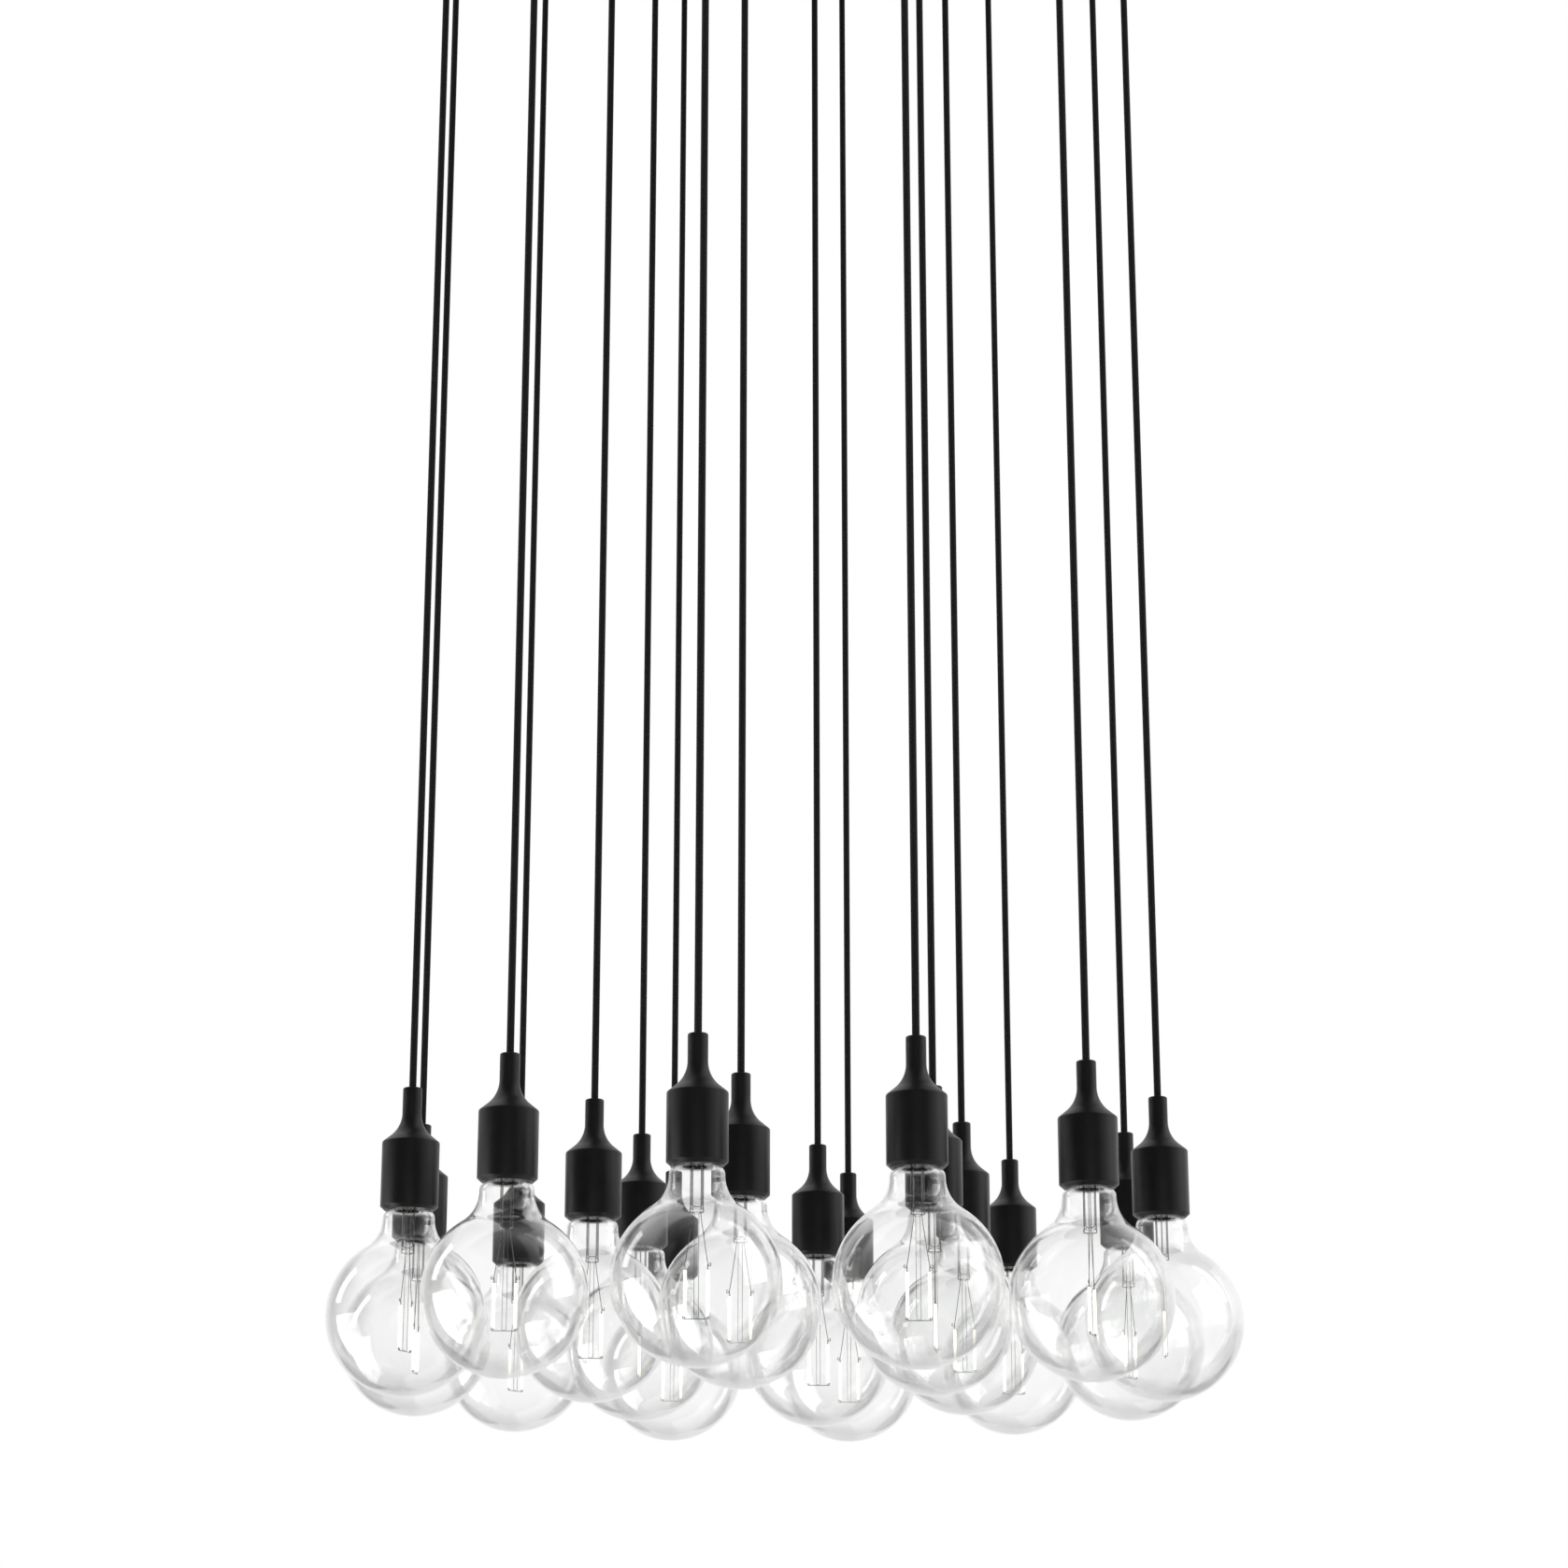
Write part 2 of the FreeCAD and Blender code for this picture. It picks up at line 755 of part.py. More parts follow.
def all_round(count, angle, point=Vector()):
    """Even places round Z, from an angle on."""
    return [round_z(angle + 360 * n / count, point) for n in range(count)]


def ring_places(ring, level=0.0):
    count = int(size(f"{ring}_ring_count").value)
    return all_round(count, ring_angle, Vector(ring_radius[ring].value, 0, level))


def make_canopy():
    """The sheet steel pan, with a hole for each cord grip and four for its side screws."""
    edge = size("canopy_edge_radius")
    rim = -size("ceiling_gap")
    pan = turned("canopy_pan", [
        Step(0, floor_level),
        Step(canopy_radius - edge, floor_level),
        Step(canopy_radius, floor_level + edge, edge, True),
        Step(canopy_radius, rim),
        Step(wall_inside, rim),
        Step(wall_inside, floor_level + edge),
        Step(canopy_radius - edge, floor_top, edge - canopy_wall, False),
        Step(0, floor_top),
    ])
    turn = size("bracket_turn")
    grip_hole = size("grip_thread_diameter") + fit * 2
    depth = size("canopy_height") * 2
    for ring, radius in ring_radius.items():
        place = Step(radius * cosine(turn), -(radius * sine(turn)))
        hole = bored(pan, f"{ring}_grip_hole", "XY_Plane", place, grip_hole, depth)
        repeated(pan, hole, size(f"{ring}_ring_count"))
    screw_hole = size("side_screw_diameter") + fit * 2
    place = Step(0, side_screw_level)
    hole = bored(pan, "side_screw_hole", "YZ_Plane", place, screw_hole, canopy_radius * 2, True)
    repeated(pan, hole, as_size(4))
    return group("canopy_cover", [pan], round_z(bracket_angle))


def make_bracket():
    """A cross of flat bars with turned-down ends, screwed to the ceiling."""
    width = size("bracket_width")
    thick = size("bracket_thickness")
    room = wall_inside - slack
    reach = root(room * room - width * width / 4)
    lug = size("lug_height")
    pieces = []
    for n in range(4):
        bar_corner = Vector(0, -width.value / 2, -thick.value)
        bar = solid_box(f"bracket_bar_{n}", reach, width, thick, bar_corner)
        lug_corner = Vector(reach.value - thick.value, -width.value / 2, -lug.value)
        end = solid_box(f"bracket_lug_{n}", thick, width, lug, lug_corner)
        bent = fused(f"bracket_bent_{n}", [bar, end])
        pieces.append(group(f"bracket_arm_{n}", [bent], round_z(90 * n)))
    cross = fused("bracket_cross", pieces)
    deep = -thick.value - slack.value
    drill = thick + slack * 2
    ceiling_hole = size("ceiling_hole_diameter") / 2
    at = Vector(size("ceiling_hole_radius").value, 0, deep)
    tools = [solid_cylinder("bracket_inlet", size("inlet_diameter") / 2, drill, Vector(0, 0, deep))]
    drilled = solid_cylinder("bracket_ceiling_hole", ceiling_hole, drill, at)
    tools += copies(drilled, all_round(4, 0))
    thread = solid_cylinder("bracket_box_hole", screw_radius + fit, drill, Vector(0, 0, deep))
    tools += copies(thread, all_round(2, 0, Vector(box_screw_radius.value, 0, 0)))
    side_hole = solid_cylinder("bracket_side_hole", screw_radius + fit, reach, Vector())
    side_hole.Placement = Placement(Vector(0, 0, side_screw_level.value), Rotation(Vector(0, 1, 0), 90))
    inside = solid_cylinder("bracket_side_room", screw_radius + fit, reach - thick * 2, Vector())
    inside.Placement = side_hole.Placement
    tools += copies(cut("bracket_side_drill", side_hole, inside), all_round(4, 0))
    drilled_cross = cut("bracket_drilled", cross, group("bracket_holes", tools, Placement()))
    return group("ceiling_bracket", [drilled_cross], round_z(bracket_angle))


def make_screw(name, shank_radius, shank_length):
    """A pan head screw along Z, with its head's seat at Z 0 and its shank going up."""
    head_radius = size("screw_head_diameter") / 2
    head_height = size("screw_head_height")
    edge = head_height / 2
    tip = shank_radius / 4
    return turned(name, [
        Step(0, shank_length),
        Step(0, -head_height),
        Step(head_radius - edge, -head_height),
        Step(head_radius, edge - head_height, edge, True),
        Step(head_radius, 0),
        Step(shank_radius, 0),
        Step(shank_radius, shank_length - tip),
        Step(shank_radius - tip, shank_length),
    ])


def make_side_screws():
    screw = make_screw("side_screw", screw_radius, size("side_screw_length"))
    seat = Vector(canopy_radius.value, 0, side_screw_level.value)
    inwards = Rotation(Vector(0, 1, 0), -90)
    lying = group("side_screw_lying", [screw], Placement(seat, inwards))
    return group("canopy_screws", copies(lying, all_round(4, bracket_angle)), Placement())


def make_grips():
    """A cord grip for each lamp: threaded collar, nut, and a lock screw that holds the cord's tail.
    Its bell mouth leaves the hanging cord room to swing about the middle of its top end."""
    collar = size("grip_diameter") / 2
    edge = size("grip_edge_radius")
    thread = size("grip_thread_diameter") / 2
    grip_foot = -size("grip_length")
    throat = cord_radius + slack
    swing = size("swing_out") + size("swing_room")
    pivot = -size("grip_pivot_depth")
    tail_end = pivot + size("tail_gap")
    mouth = throat + (pivot - grip_foot) * tangent(swing)
    body = turned("grip_collar", [
        Step(cord_bore, size("grip_thread_length")),
        Step(cord_bore, tail_end),
        Step(throat, tail_end),
        Step(throat, pivot),
        Step(mouth, grip_foot),
        Step(collar - edge, grip_foot),
        Step(collar, grip_foot + edge, edge, True),
        Step(collar, 0),
        Step(thread, 0),
        Step(thread, size("grip_thread_length")),
    ])
    lock_level = -size("grip_lock_depth")
    lock_hole = size("grip_lock_diameter") + fit * 2
    bored(body, "lock_hole", "YZ_Plane", Step(0, lock_level), lock_hole, collar * 2, True)
    lock_length = collar - cord_bore - slack
    lock = solid_cylinder("grip_lock", size("grip_lock_diameter") / 2, lock_length, Vector())
    lock_seat = Vector(cord_bore.value, 0, lock_level.value)
    lock.Placement = Placement(lock_seat, Rotation(Vector(0, 1, 0), 90))
    prism = doc.addObject("Part::Prism", "grip_nut_prism")
    prism.Polygon = 6
    nut_height = size("grip_nut_height")
    bind(prism, Circumradius=size("grip_nut_width") / root(as_size(3)), Height=nut_height)
    hole = solid_cylinder("grip_nut_hole", thread + fit, nut_height, Vector())
    nut_seat = round_z(0, Vector(0, 0, canopy_wall.value))
    nut = group("grip_nut", [cut("grip_nut_bored", prism, hole)], nut_seat)
    grip = group("grip", [body, lock, nut], Placement())
    places = [at for ring in ring_radius for at in ring_places(ring, floor_level.value)]
    return group("cord_grips", copies(grip, places), Placement())


def make_tails():
    """The cords' fixed ends, from the grips through one bend to the junction box."""
    inner_end = size("box_diameter").value / 2 - size("box_wall").value - size("tail_in_box").value
    tails = []
    for ring, level in tail_levels.items():
        across = ring_radius[ring].value
        path = [
            Vector(across, 0, tail_level.value),
            Vector(across, 0, level.value),
            Vector(inner_end, 0, level.value),
        ]
        bend = (level - grip_top).value
        tail = shaped(f"{ring}_tail", rod_along(path, [bend], cord_radius.value * 2))
        count = int(size(f"{ring}_ring_count").value)
        tails += copies(tail, all_round(count, ring_angle))
    return group("cord_tails", tails, Placement())


def make_junction_box():
    """A round box that takes all the cord tails, its lid, and the long screws and terminal blocks."""
    outside = size("box_diameter") / 2
    wall = size("box_wall")
    lid_foot = box_floor - size("box_lid_thickness")
    ceiling = bracket_level - wall
    shell = turned("box_shell", [
        Step(0, bracket_level),
        Step(0, ceiling),
        Step(outside - wall, ceiling),
        Step(outside - wall, box_floor),
        Step(outside, box_floor),
        Step(outside, bracket_level),
    ])
    for ring, level in tail_levels.items():
        place = Step(0, level)
        hole = bored(shell, f"{ring}_tail_hole", "YZ_Plane", place, cord_bore * 2, outside * 2, True)
        repeated(shell, hole, size(f"{ring}_ring_count"))
    rim = outside - wall - fit
    rim_top = box_floor + size("box_lid_rim_height")
    lid = turned("box_lid", [
        Step(0, lid_foot),
        Step(outside, lid_foot),
        Step(outside, box_floor),
        Step(rim, box_floor),
        Step(rim, rim_top),
        Step(rim - wall, rim_top),
        Step(rim - wall, box_floor),
        Step(0, box_floor),
    ])
    turn = size("bracket_turn")
    radius = box_screw_radius
    place = Step(radius * cosine(turn), radius * sine(turn))
    screw_hole = (screw_radius + fit) * 2
    for body in (shell, lid):
        hole = bored(body, f"{body.Name}_screw_hole", "XY_Plane", place, screw_hole, outside)
        repeated(body, hole, as_size(2))
    inlet = size("inlet_diameter")
    bored(shell, "box_inlet", "XY_Plane", Step(0, 0), inlet, size("bracket_thickness") + wall * 2)
    screw = make_screw("box_screw", screw_radius, -lid_foot - slack)
    seat = Vector(radius.value, 0, lid_foot.value)
    screws = copies(screw, all_round(2, turn.value, seat))
    length = size("terminal_length")
    width = size("terminal_width")
    height = size("terminal_height")
    gap = size("terminal_gap")
    near = (inlet / 2 + gap / 2).value
    rows = [-near - width.value, near, near + width.value + gap.value]
    blocks = []
    for n, row in enumerate(rows, start=1):
        foot = Vector(-length.value / 2, row, (ceiling - height).value)
        blocks.append(solid_box(f"terminal_block_{n}", length, width, height, foot))
    place = round_z(ring_angle)
    return [
        group("junction_box", [shell], place),
        group("junction_lid", [lid], place),
        group("junction_fittings", [*screws, *blocks], place),
    ]


# ---- Build, check and write ----

lamps = make_lamps()
nodes = [
    make_bracket(),
    make_canopy(),
    make_side_screws(),
    make_grips(),
    make_tails(),
    *make_junction_box(),
    *lamps,
]
doc.recompute()

broken = [o.Name for o in doc.Objects if {"Invalid", "Error"} & set(o.State)]
if broken:
    raise RuntimeError(f"these failed: {broken}")
for node in nodes:
    if node.Shape.isNull() or not node.Shape.isValid():
        raise RuntimeError(f"{node.Label} has no valid shape")

cord = lamps[0].Shape
cord_length = cord.BoundBox.ZLength
ideal = math.pi * cord_radius.value**2 * cord_length
print(f"each cord hangs straight, {cord_length:.1f} mm, volume {cord.Volume / ideal:.6f} of ideal")

os.makedirs("parts", exist_ok=True)
for node in nodes:
    node.Shape.exportStep(f"parts/{node.Label}.step")
print(f"wrote {len(nodes)} sub-parts")
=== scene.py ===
import math

import bmesh
import bpy
from mathutils import Matrix, Vector


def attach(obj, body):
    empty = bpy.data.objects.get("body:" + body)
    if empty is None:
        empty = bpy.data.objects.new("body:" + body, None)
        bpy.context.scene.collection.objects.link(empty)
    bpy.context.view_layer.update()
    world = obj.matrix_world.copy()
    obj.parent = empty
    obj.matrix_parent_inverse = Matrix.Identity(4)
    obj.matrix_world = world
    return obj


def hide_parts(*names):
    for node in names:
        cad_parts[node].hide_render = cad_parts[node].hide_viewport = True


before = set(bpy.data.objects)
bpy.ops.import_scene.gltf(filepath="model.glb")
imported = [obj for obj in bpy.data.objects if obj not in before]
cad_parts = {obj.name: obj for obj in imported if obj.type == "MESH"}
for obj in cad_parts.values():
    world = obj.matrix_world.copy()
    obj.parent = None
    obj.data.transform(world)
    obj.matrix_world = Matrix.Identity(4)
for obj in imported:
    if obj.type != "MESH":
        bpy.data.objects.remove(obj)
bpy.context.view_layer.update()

scene = bpy.context.scene
MM = 0.001

# The lamps' places, as in the part: ring radius in millimetres, then the angle round Z and the turn
# of the filaments, both in degrees.
RING_TURN = 18.6
OUTER_RING, INNER_RING = 310, 160
OUTER_TURNS = [52, 0, 0, 8, 54, 85, 66, 5, 0, 0, 71, 85]
INNER_TURNS = [0, 5, 90, 5, 3, 85]
LAMPS = [(OUTER_RING, RING_TURN + 30 * n, turn) for n, turn in enumerate(OUTER_TURNS)]
LAMPS += [(INNER_RING, RING_TURN + 60 * n, turn) for n, turn in enumerate(INNER_TURNS)]
SOCKET_TOP = -1310
CORD_TOP, CORD_END, CORD_DIAMETER = -60, -1357.97, 5.75


# ---- Camera, where the photograph's stood, but tilted up instead of shifted ----

CAMERA_TILT, CAMERA_TURN = 14.782, -0.042

camera_data = bpy.data.cameras.new("Camera")
camera_data.sensor_width = 36
camera_data.lens = 71.92
camera_data.shift_y = 0.07
camera_data.clip_end = 60
camera = bpy.data.objects.new("Camera", camera_data)
camera.location = (0.0001, -2.5511, -1.7970)
camera.rotation_euler = (math.radians(90 + CAMERA_TILT), 0, math.radians(CAMERA_TURN))
scene.collection.objects.link(camera)
scene.camera = camera

scene.view_settings.view_transform = "Standard"

# A ray may pass several globes and stems in a row, each with four faces or more, and be mirrored to
# and fro between them.
scene.cycles.transparent_max_bounces = 64
scene.cycles.glossy_bounces = 16
scene.cycles.max_bounces = 24


# ---- Materials ----

class Nodes:
    """Builds a node tree. add(kind, settings, input=value or socket) gives the new node. An input is
    named with _ for a space, or as i0, i1 and so on by its number."""

    def __init__(self, tree):
        self.tree = tree
        tree.nodes.clear()

    def add(self, kind, settings=None, **inputs):
        node = self.tree.nodes.new(kind)
        for name, value in (settings or {}).items():
            setattr(node, name, value)
        for name, value in inputs.items():
            by_number = name[0] == "i" and name[1:].isdigit()
            self.put(node, int(name[1:]) if by_number else name.replace("_", " "), value)
        return node

    def put(self, node, name, value):
        if isinstance(value, bpy.types.NodeSocket):
            self.tree.links.new(value, node.inputs[name])
        else:
            node.inputs[name].default_value = value

    def math(self, operation, a, b=0.0):
        node = self.add("ShaderNodeMath", {"operation": operation}, i0=a, i1=b)
        return node.outputs[0]

    def span(self, value, low, high, to_low=0.0, to_high=1.0, smooth=False):
        """Maps low to high onto to_low to to_high, and holds the ends beyond them."""
        kind = "SMOOTHSTEP" if smooth else "LINEAR"
        node = self.add("ShaderNodeMapRange", {"interpolation_type": kind}, i0=value, i1=low,
                        i2=high, i3=to_low, i4=to_high)
        return node.outputs[0]

    def blend(self, share, a, b):
        node = self.add("ShaderNodeMix", {"data_type": "RGBA"}, i0=share, i6=a, i7=b)
        return node.outputs[2]

    def noise(self, vector, scale, detail=3.0, roughness=0.5):
        node = self.add("ShaderNodeTexNoise", None, Vector=vector, Scale=scale, Detail=detail,
                        Roughness=roughness)
        return node.outputs["Fac"]


def rgba(r, g=None, b=None):
    return (r, r if g is None else g, r if b is None else b, 1.0)


def new_material(name):
    material = bpy.data.materials.new(name)
    material.use_nodes = True
    return material, Nodes(material.node_tree)


def surface(name, build):
    """A Principled material. build(nodes, place) gives its inputs, and the height and depth in metres
    of its bump; place is the Texture Coordinate node."""
    material, nodes = new_material(name)
    place = nodes.add("ShaderNodeTexCoord")
    inputs = build(nodes, place)
    height, depth = inputs.pop("height"), inputs.pop("depth")
    shader = nodes.add("ShaderNodeBsdfPrincipled")
    for socket, value in inputs.items():
        nodes.put(shader, socket, value)
    bump = nodes.add("ShaderNodeBump", None, Strength=1.0, Distance=depth, Height=height)
    nodes.put(shader, "Normal", bump.outputs[0])
    output = nodes.add("ShaderNodeOutputMaterial")
    nodes.put(output, "Surface", shader.outputs[0])
    return material


def silicone(nodes, place):
    spot = place.outputs["Object"]
    cloud = nodes.noise(spot, 60, 4)
    grain = nodes.noise(spot, 2600, 2)
    return {
        "Base Color": nodes.blend(cloud, rgba(0.0032, 0.0032, 0.0033), rgba(0.0050, 0.0050, 0.0052)),
        "Roughness": nodes.span(cloud, 0.3, 0.7, 0.31, 0.38),
        "Specular IOR Level": 0.38,
        "height": grain,
        "depth": 0.00005,
    }


def braid(length, diameter):
    """A braided sleeve of eight yarns each way, over and under by turns."""
    yarns, yarn_angle = 8, 40

    def build(nodes, place):
        uv = nodes.add("ShaderNodeSeparateXYZ", None, Vector=place.outputs["UV"])
        along = nodes.math("MULTIPLY", uv.outputs[0], length)
        lay = math.pi * diameter / math.tan(math.radians(yarn_angle))
        turns = nodes.math("DIVIDE", along, lay)
        left = nodes.math("MULTIPLY", nodes.math("ADD", uv.outputs[1], turns), yarns)
        right = nodes.math("MULTIPLY", nodes.math("SUBTRACT", uv.outputs[1], turns), yarns)
        crowns = [nodes.math("SINE", nodes.math("MULTIPLY", nodes.math("FRACT", n), math.pi))
                  for n in (left, right)]
        cells = nodes.math("ADD", nodes.math("FLOOR", left), nodes.math("FLOOR", right))
        turn = nodes.math("FLOORED_MODULO", cells, 2.0)
        over = nodes.math("ADD", nodes.math("MULTIPLY", crowns[0], turn),
                          nodes.math("MULTIPLY", crowns[1], nodes.math("SUBTRACT", 1.0, turn)))
        yarn = nodes.noise(place.outputs["Object"], 900, 2)
        return {
            # The colour follows the yarns' height: painted shade in the valleys between the yarns and
            # a lighter tone on their crowns, times a random tone from the yarn noise.
            "Base Color": nodes.blend(nodes.math("MULTIPLY", over, yarn), rgba(0.003),
                                      rgba(0.012, 0.012, 0.0125)),
            "Roughness": nodes.span(yarn, 0.3, 0.7, 0.62, 0.80),
            "Specular IOR Level": 0.25,
            "Sheen Weight": 0.04,
            "Sheen Roughness": 0.4,
            "height": over,
            "depth": 0.00025,
        }
    return build


def powder_coat(nodes, place):
    spot = place.outputs["Object"]
    peel = nodes.noise(spot, 700, 3)
    cloud = nodes.noise(spot, 9, 4)
    return {
        "Base Color": nodes.blend(cloud, rgba(0.011), rgba(0.017, 0.017, 0.018)),
        "Roughness": nodes.span(cloud, 0.3, 0.7, 0.44, 0.54),
        "Specular IOR Level": 0.45,
        "height": peel,
        "depth": 0.00012,
    }


def zinc(nodes, place):
    spot = place.outputs["Object"]
    flakes = nodes.add("ShaderNodeTexVoronoi", None, Vector=spot, Scale=110)
    tone = nodes.span(flakes.outputs["Color"], 0.0, 1.0, 0.0, 1.0)
    brushed = nodes.noise(spot, 1400, 2)
    return {
        "Base Color": nodes.blend(tone, rgba(0.50, 0.51, 0.53), rgba(0.64, 0.65, 0.66)),
        "Metallic": 1.0,
        "Roughness": nodes.span(nodes.math("ADD", tone, brushed), 0.4, 1.6, 0.28, 0.46),
        "height": brushed,
        "depth": 0.00003,
    }


def plastic(dark, light, rough=0.45):
    def build(nodes, place):
        spot = place.outputs["Object"]
        cloud = nodes.noise(spot, 40, 3)
        grain = nodes.noise(spot, 1800, 2)
        return {
            "Base Color": nodes.blend(cloud, dark, light),
            "Roughness": nodes.span(grain, 0.3, 0.7, rough - 0.05, rough + 0.07),
            "height": grain,
            "depth": 0.00006,
        }
    return build


def metal(dark, light, rough, scale=400):
    def build(nodes, place):
        spot = place.outputs["Object"]
        cloud = nodes.noise(spot, scale, 4)
        return {
            "Base Color": nodes.blend(cloud, dark, light),
            "Metallic": 1.0,
            "Roughness": nodes.span(cloud, 0.3, 0.7, rough * 0.75, rough * 1.3),
            "height": nodes.noise(spot, scale * 5, 2),
            "depth": 0.00001,
        }
    return build


def phosphor(nodes, place):
    """A lit filament strip: yellow resin over a row of small chips that glow warm white."""
    spot = place.outputs["Object"]
    lumps = nodes.noise(spot, 1500, 2)
    return {
        "Base Color": nodes.blend(lumps, rgba(0.84, 0.70, 0.42), rgba(0.88, 0.76, 0.50)),
        "Roughness": 0.5,
        "Emission Color": nodes.blend(lumps, rgba(1.0, 0.96, 0.88), rgba(1.0, 0.985, 0.95)),
        "Emission Strength": 1.5,
        "height": lumps,
        "depth": 0.0002,
    }


def glass(name, edge_shade, edge_zone, waves, steepness):
    """Thin blown glass, which bends nothing that shows. At a slant it passes less light, down to the
    grey
    level given second, over edge_zone: painted shade at the rims, standing in for the dark outlines
    that bent light gives. It also mirrors more at a slant, by the power steepness. waves is the
    ripple's scale."""
    straight_on = 0.015
    material, nodes = new_material(name)
    place = nodes.add("ShaderNodeTexCoord")
    ripple = nodes.noise(place.outputs["Object"], waves, 2)
    bump = nodes.add("ShaderNodeBump", None, Strength=1.0, Distance=0.00002, Height=ripple)
    slant = nodes.add("ShaderNodeLayerWeight", None, Blend=0.5).outputs["Facing"]
    # Towards the rims the see-through colour turns grey: painted shade in place of the outlines that
    # bent light would give.
    edge = nodes.span(slant, *edge_zone, smooth=True)
    clear = nodes.add("ShaderNodeBsdfTransparent", None,
                      Color=nodes.blend(edge, rgba(0.998, 0.999, 0.998), rgba(edge_shade)))
    mirror = nodes.add("ShaderNodeBsdfGlossy", None, Color=rgba(1.0), Roughness=0.0,
                       Normal=bump.outputs[0])
    share = nodes.span(nodes.math("POWER", slant, steepness), 0.0, 1.0, straight_on, 1.0)
    mixed = nodes.add("ShaderNodeMixShader", None, i0=share, i1=clear.outputs[0],
                      i2=mirror.outputs[0])
    output = nodes.add("ShaderNodeOutputMaterial")
    nodes.put(output, "Surface", mixed.outputs[0])
    return material


CORD_LENGTH = (CORD_TOP - CORD_END) * MM
M = {
    "silicone": surface("black_silicone", silicone),
    "braid": surface("black_braid", braid(CORD_LENGTH, CORD_DIAMETER * MM)),
    "tail": surface("black_tail_braid", plastic(rgba(0.006), rgba(0.018), 0.7)),
    "paint": surface("black_powder_coat", powder_coat),
    "zinc": surface("zinc_plated_steel", zinc),
    "screw": surface("blackened_steel", metal(rgba(0.03), rgba(0.06), 0.35)),
    "black_plastic": surface("black_plastic", plastic(rgba(0.009), rgba(0.014))),
    "pale_plastic": surface("pale_plastic", plastic(rgba(0.58, 0.58, 0.56), rgba(0.64, 0.64, 0.62))),
    "bakelite": surface("black_bakelite", plastic(rgba(0.008), rgba(0.012), 0.3)),
    "nickel": surface("nickel", metal(rgba(0.62, 0.60, 0.56), rgba(0.72, 0.70, 0.66), 0.25)),
    "brass": surface("brass", metal(rgba(0.60, 0.42, 0.18), rgba(0.72, 0.52, 0.24), 0.3)),
    "solder": surface("solder", metal(rgba(0.50), rgba(0.66), 0.4, 900)),
    "black_glass": surface("black_glass", plastic(rgba(0.004), rgba(0.008), 0.12)),
    "wire": surface("nickel_wire", metal(rgba(0.20, 0.19, 0.18), rgba(0.34, 0.33, 0.31), 0.3, 900)),
    "phosphor": surface("filament_resin", phosphor),
    "board": surface("circuit_board", plastic(rgba(0.62, 0.64, 0.60), rgba(0.70, 0.71, 0.68), 0.3)),
    "chip": surface("chip_plastic", plastic(rgba(0.01), rgba(0.02), 0.35)),
    "globe": glass("clear_glass", 0.98, (0.3, 0.9), 26, 2.5),
    "stem": glass("stem_glass", 0.28, (0.30, 0.72), 140, 5.0),
}


# ---- Mesh helpers, in millimetres from the top of the sleeve ----

def arc(centre, radius, start, end, steps):
    """Points on an arc in the (across, up) plane, from one angle to another, in degrees."""
    angles = [math.radians(start + (end - start) * n / steps) for n in range(steps + 1)]
    return [(centre[0] + radius * math.cos(a), centre[1] + radius * math.sin(a)) for a in angles]


def finished(mesh, material, smooth=35):
    mesh.materials.append(material)
    mesh.shade_smooth()
    mesh.set_sharp_from_angle(angle=math.radians(smooth))
    return mesh


def lathe(name, profile, material, segments=64, closed=True, shape=None, smooth=35):
    """Turns an outline round Z. shape(across, up, angle) may move each point."""
    verts, rings = [], []
    for across, up in profile:
        if across < 1e-6:
            rings.append([len(verts)])
            verts.append((0, 0, up * MM))
            continue
        ring = []
        for n in range(segments):
            angle = 2 * math.pi * n / segments
            r, z = shape(across, up, angle) if shape else (across, up)
            ring.append(len(verts))
            verts.append((r * math.cos(angle) * MM, r * math.sin(angle) * MM, z * MM))
        rings.append(ring)
    runs = [0.0]
    for a, b in zip(profile, profile[1:] + profile[:1]):
        runs.append(runs[-1] + math.dist(a, b) * MM)
    faces, coords = [], []
    pairs = list(zip(range(len(rings)), range(1, len(rings))))
    if closed and len(rings[0]) > 1 and len(rings[-1]) > 1:
        pairs.append((len(rings) - 1, 0))
    for i, j in pairs:
        a, b = rings[i], rings[j]
        low, high = runs[i], runs[i + 1]
        for n in range(segments):
            m = (n + 1) % segments
            u, v = n / segments, (n + 1) / segments
            if len(a) == 1:
                faces.append((a[0], b[m], b[n]))
                coords += [(u, low), (v, high), (u, high)]
            elif len(b) == 1:
                faces.append((a[n], a[m], b[0]))
                coords += [(u, low), (v, low), (u, high)]
            else:
                faces.append((a[n], a[m], b[m], b[n]))
                coords += [(u, low), (v, low), (v, high), (u, high)]
    mesh = bpy.data.meshes.new(name)
    mesh.from_pydata(verts, [], faces)
    layer = mesh.uv_layers.new(name="UVMap")
    for loop, coord in zip(layer.data, coords):
        loop.uv = coord
    mesh.update()
    return finished(mesh, material, smooth)


def curve_points(points):
    """A smooth line along control points, as a NURBS curve gives it."""
    data = bpy.data.curves.new("line", "CURVE")
    data.dimensions = "3D"
    data.resolution_u = 8
    spline = data.splines.new("NURBS")
    spline.points.add(len(points) - 1)
    for place, point in zip(spline.points, points):
        place.co = (*point, 1)
    spline.order_u = 3
    spline.use_endpoint_u = True
    holder = bpy.data.objects.new("line", data)
    line = bpy.data.meshes.new_from_object(holder)
    found = [v.co.copy() for v in line.vertices]
    bpy.data.meshes.remove(line)
    bpy.data.objects.remove(holder)
    bpy.data.curves.remove(data)
    return found


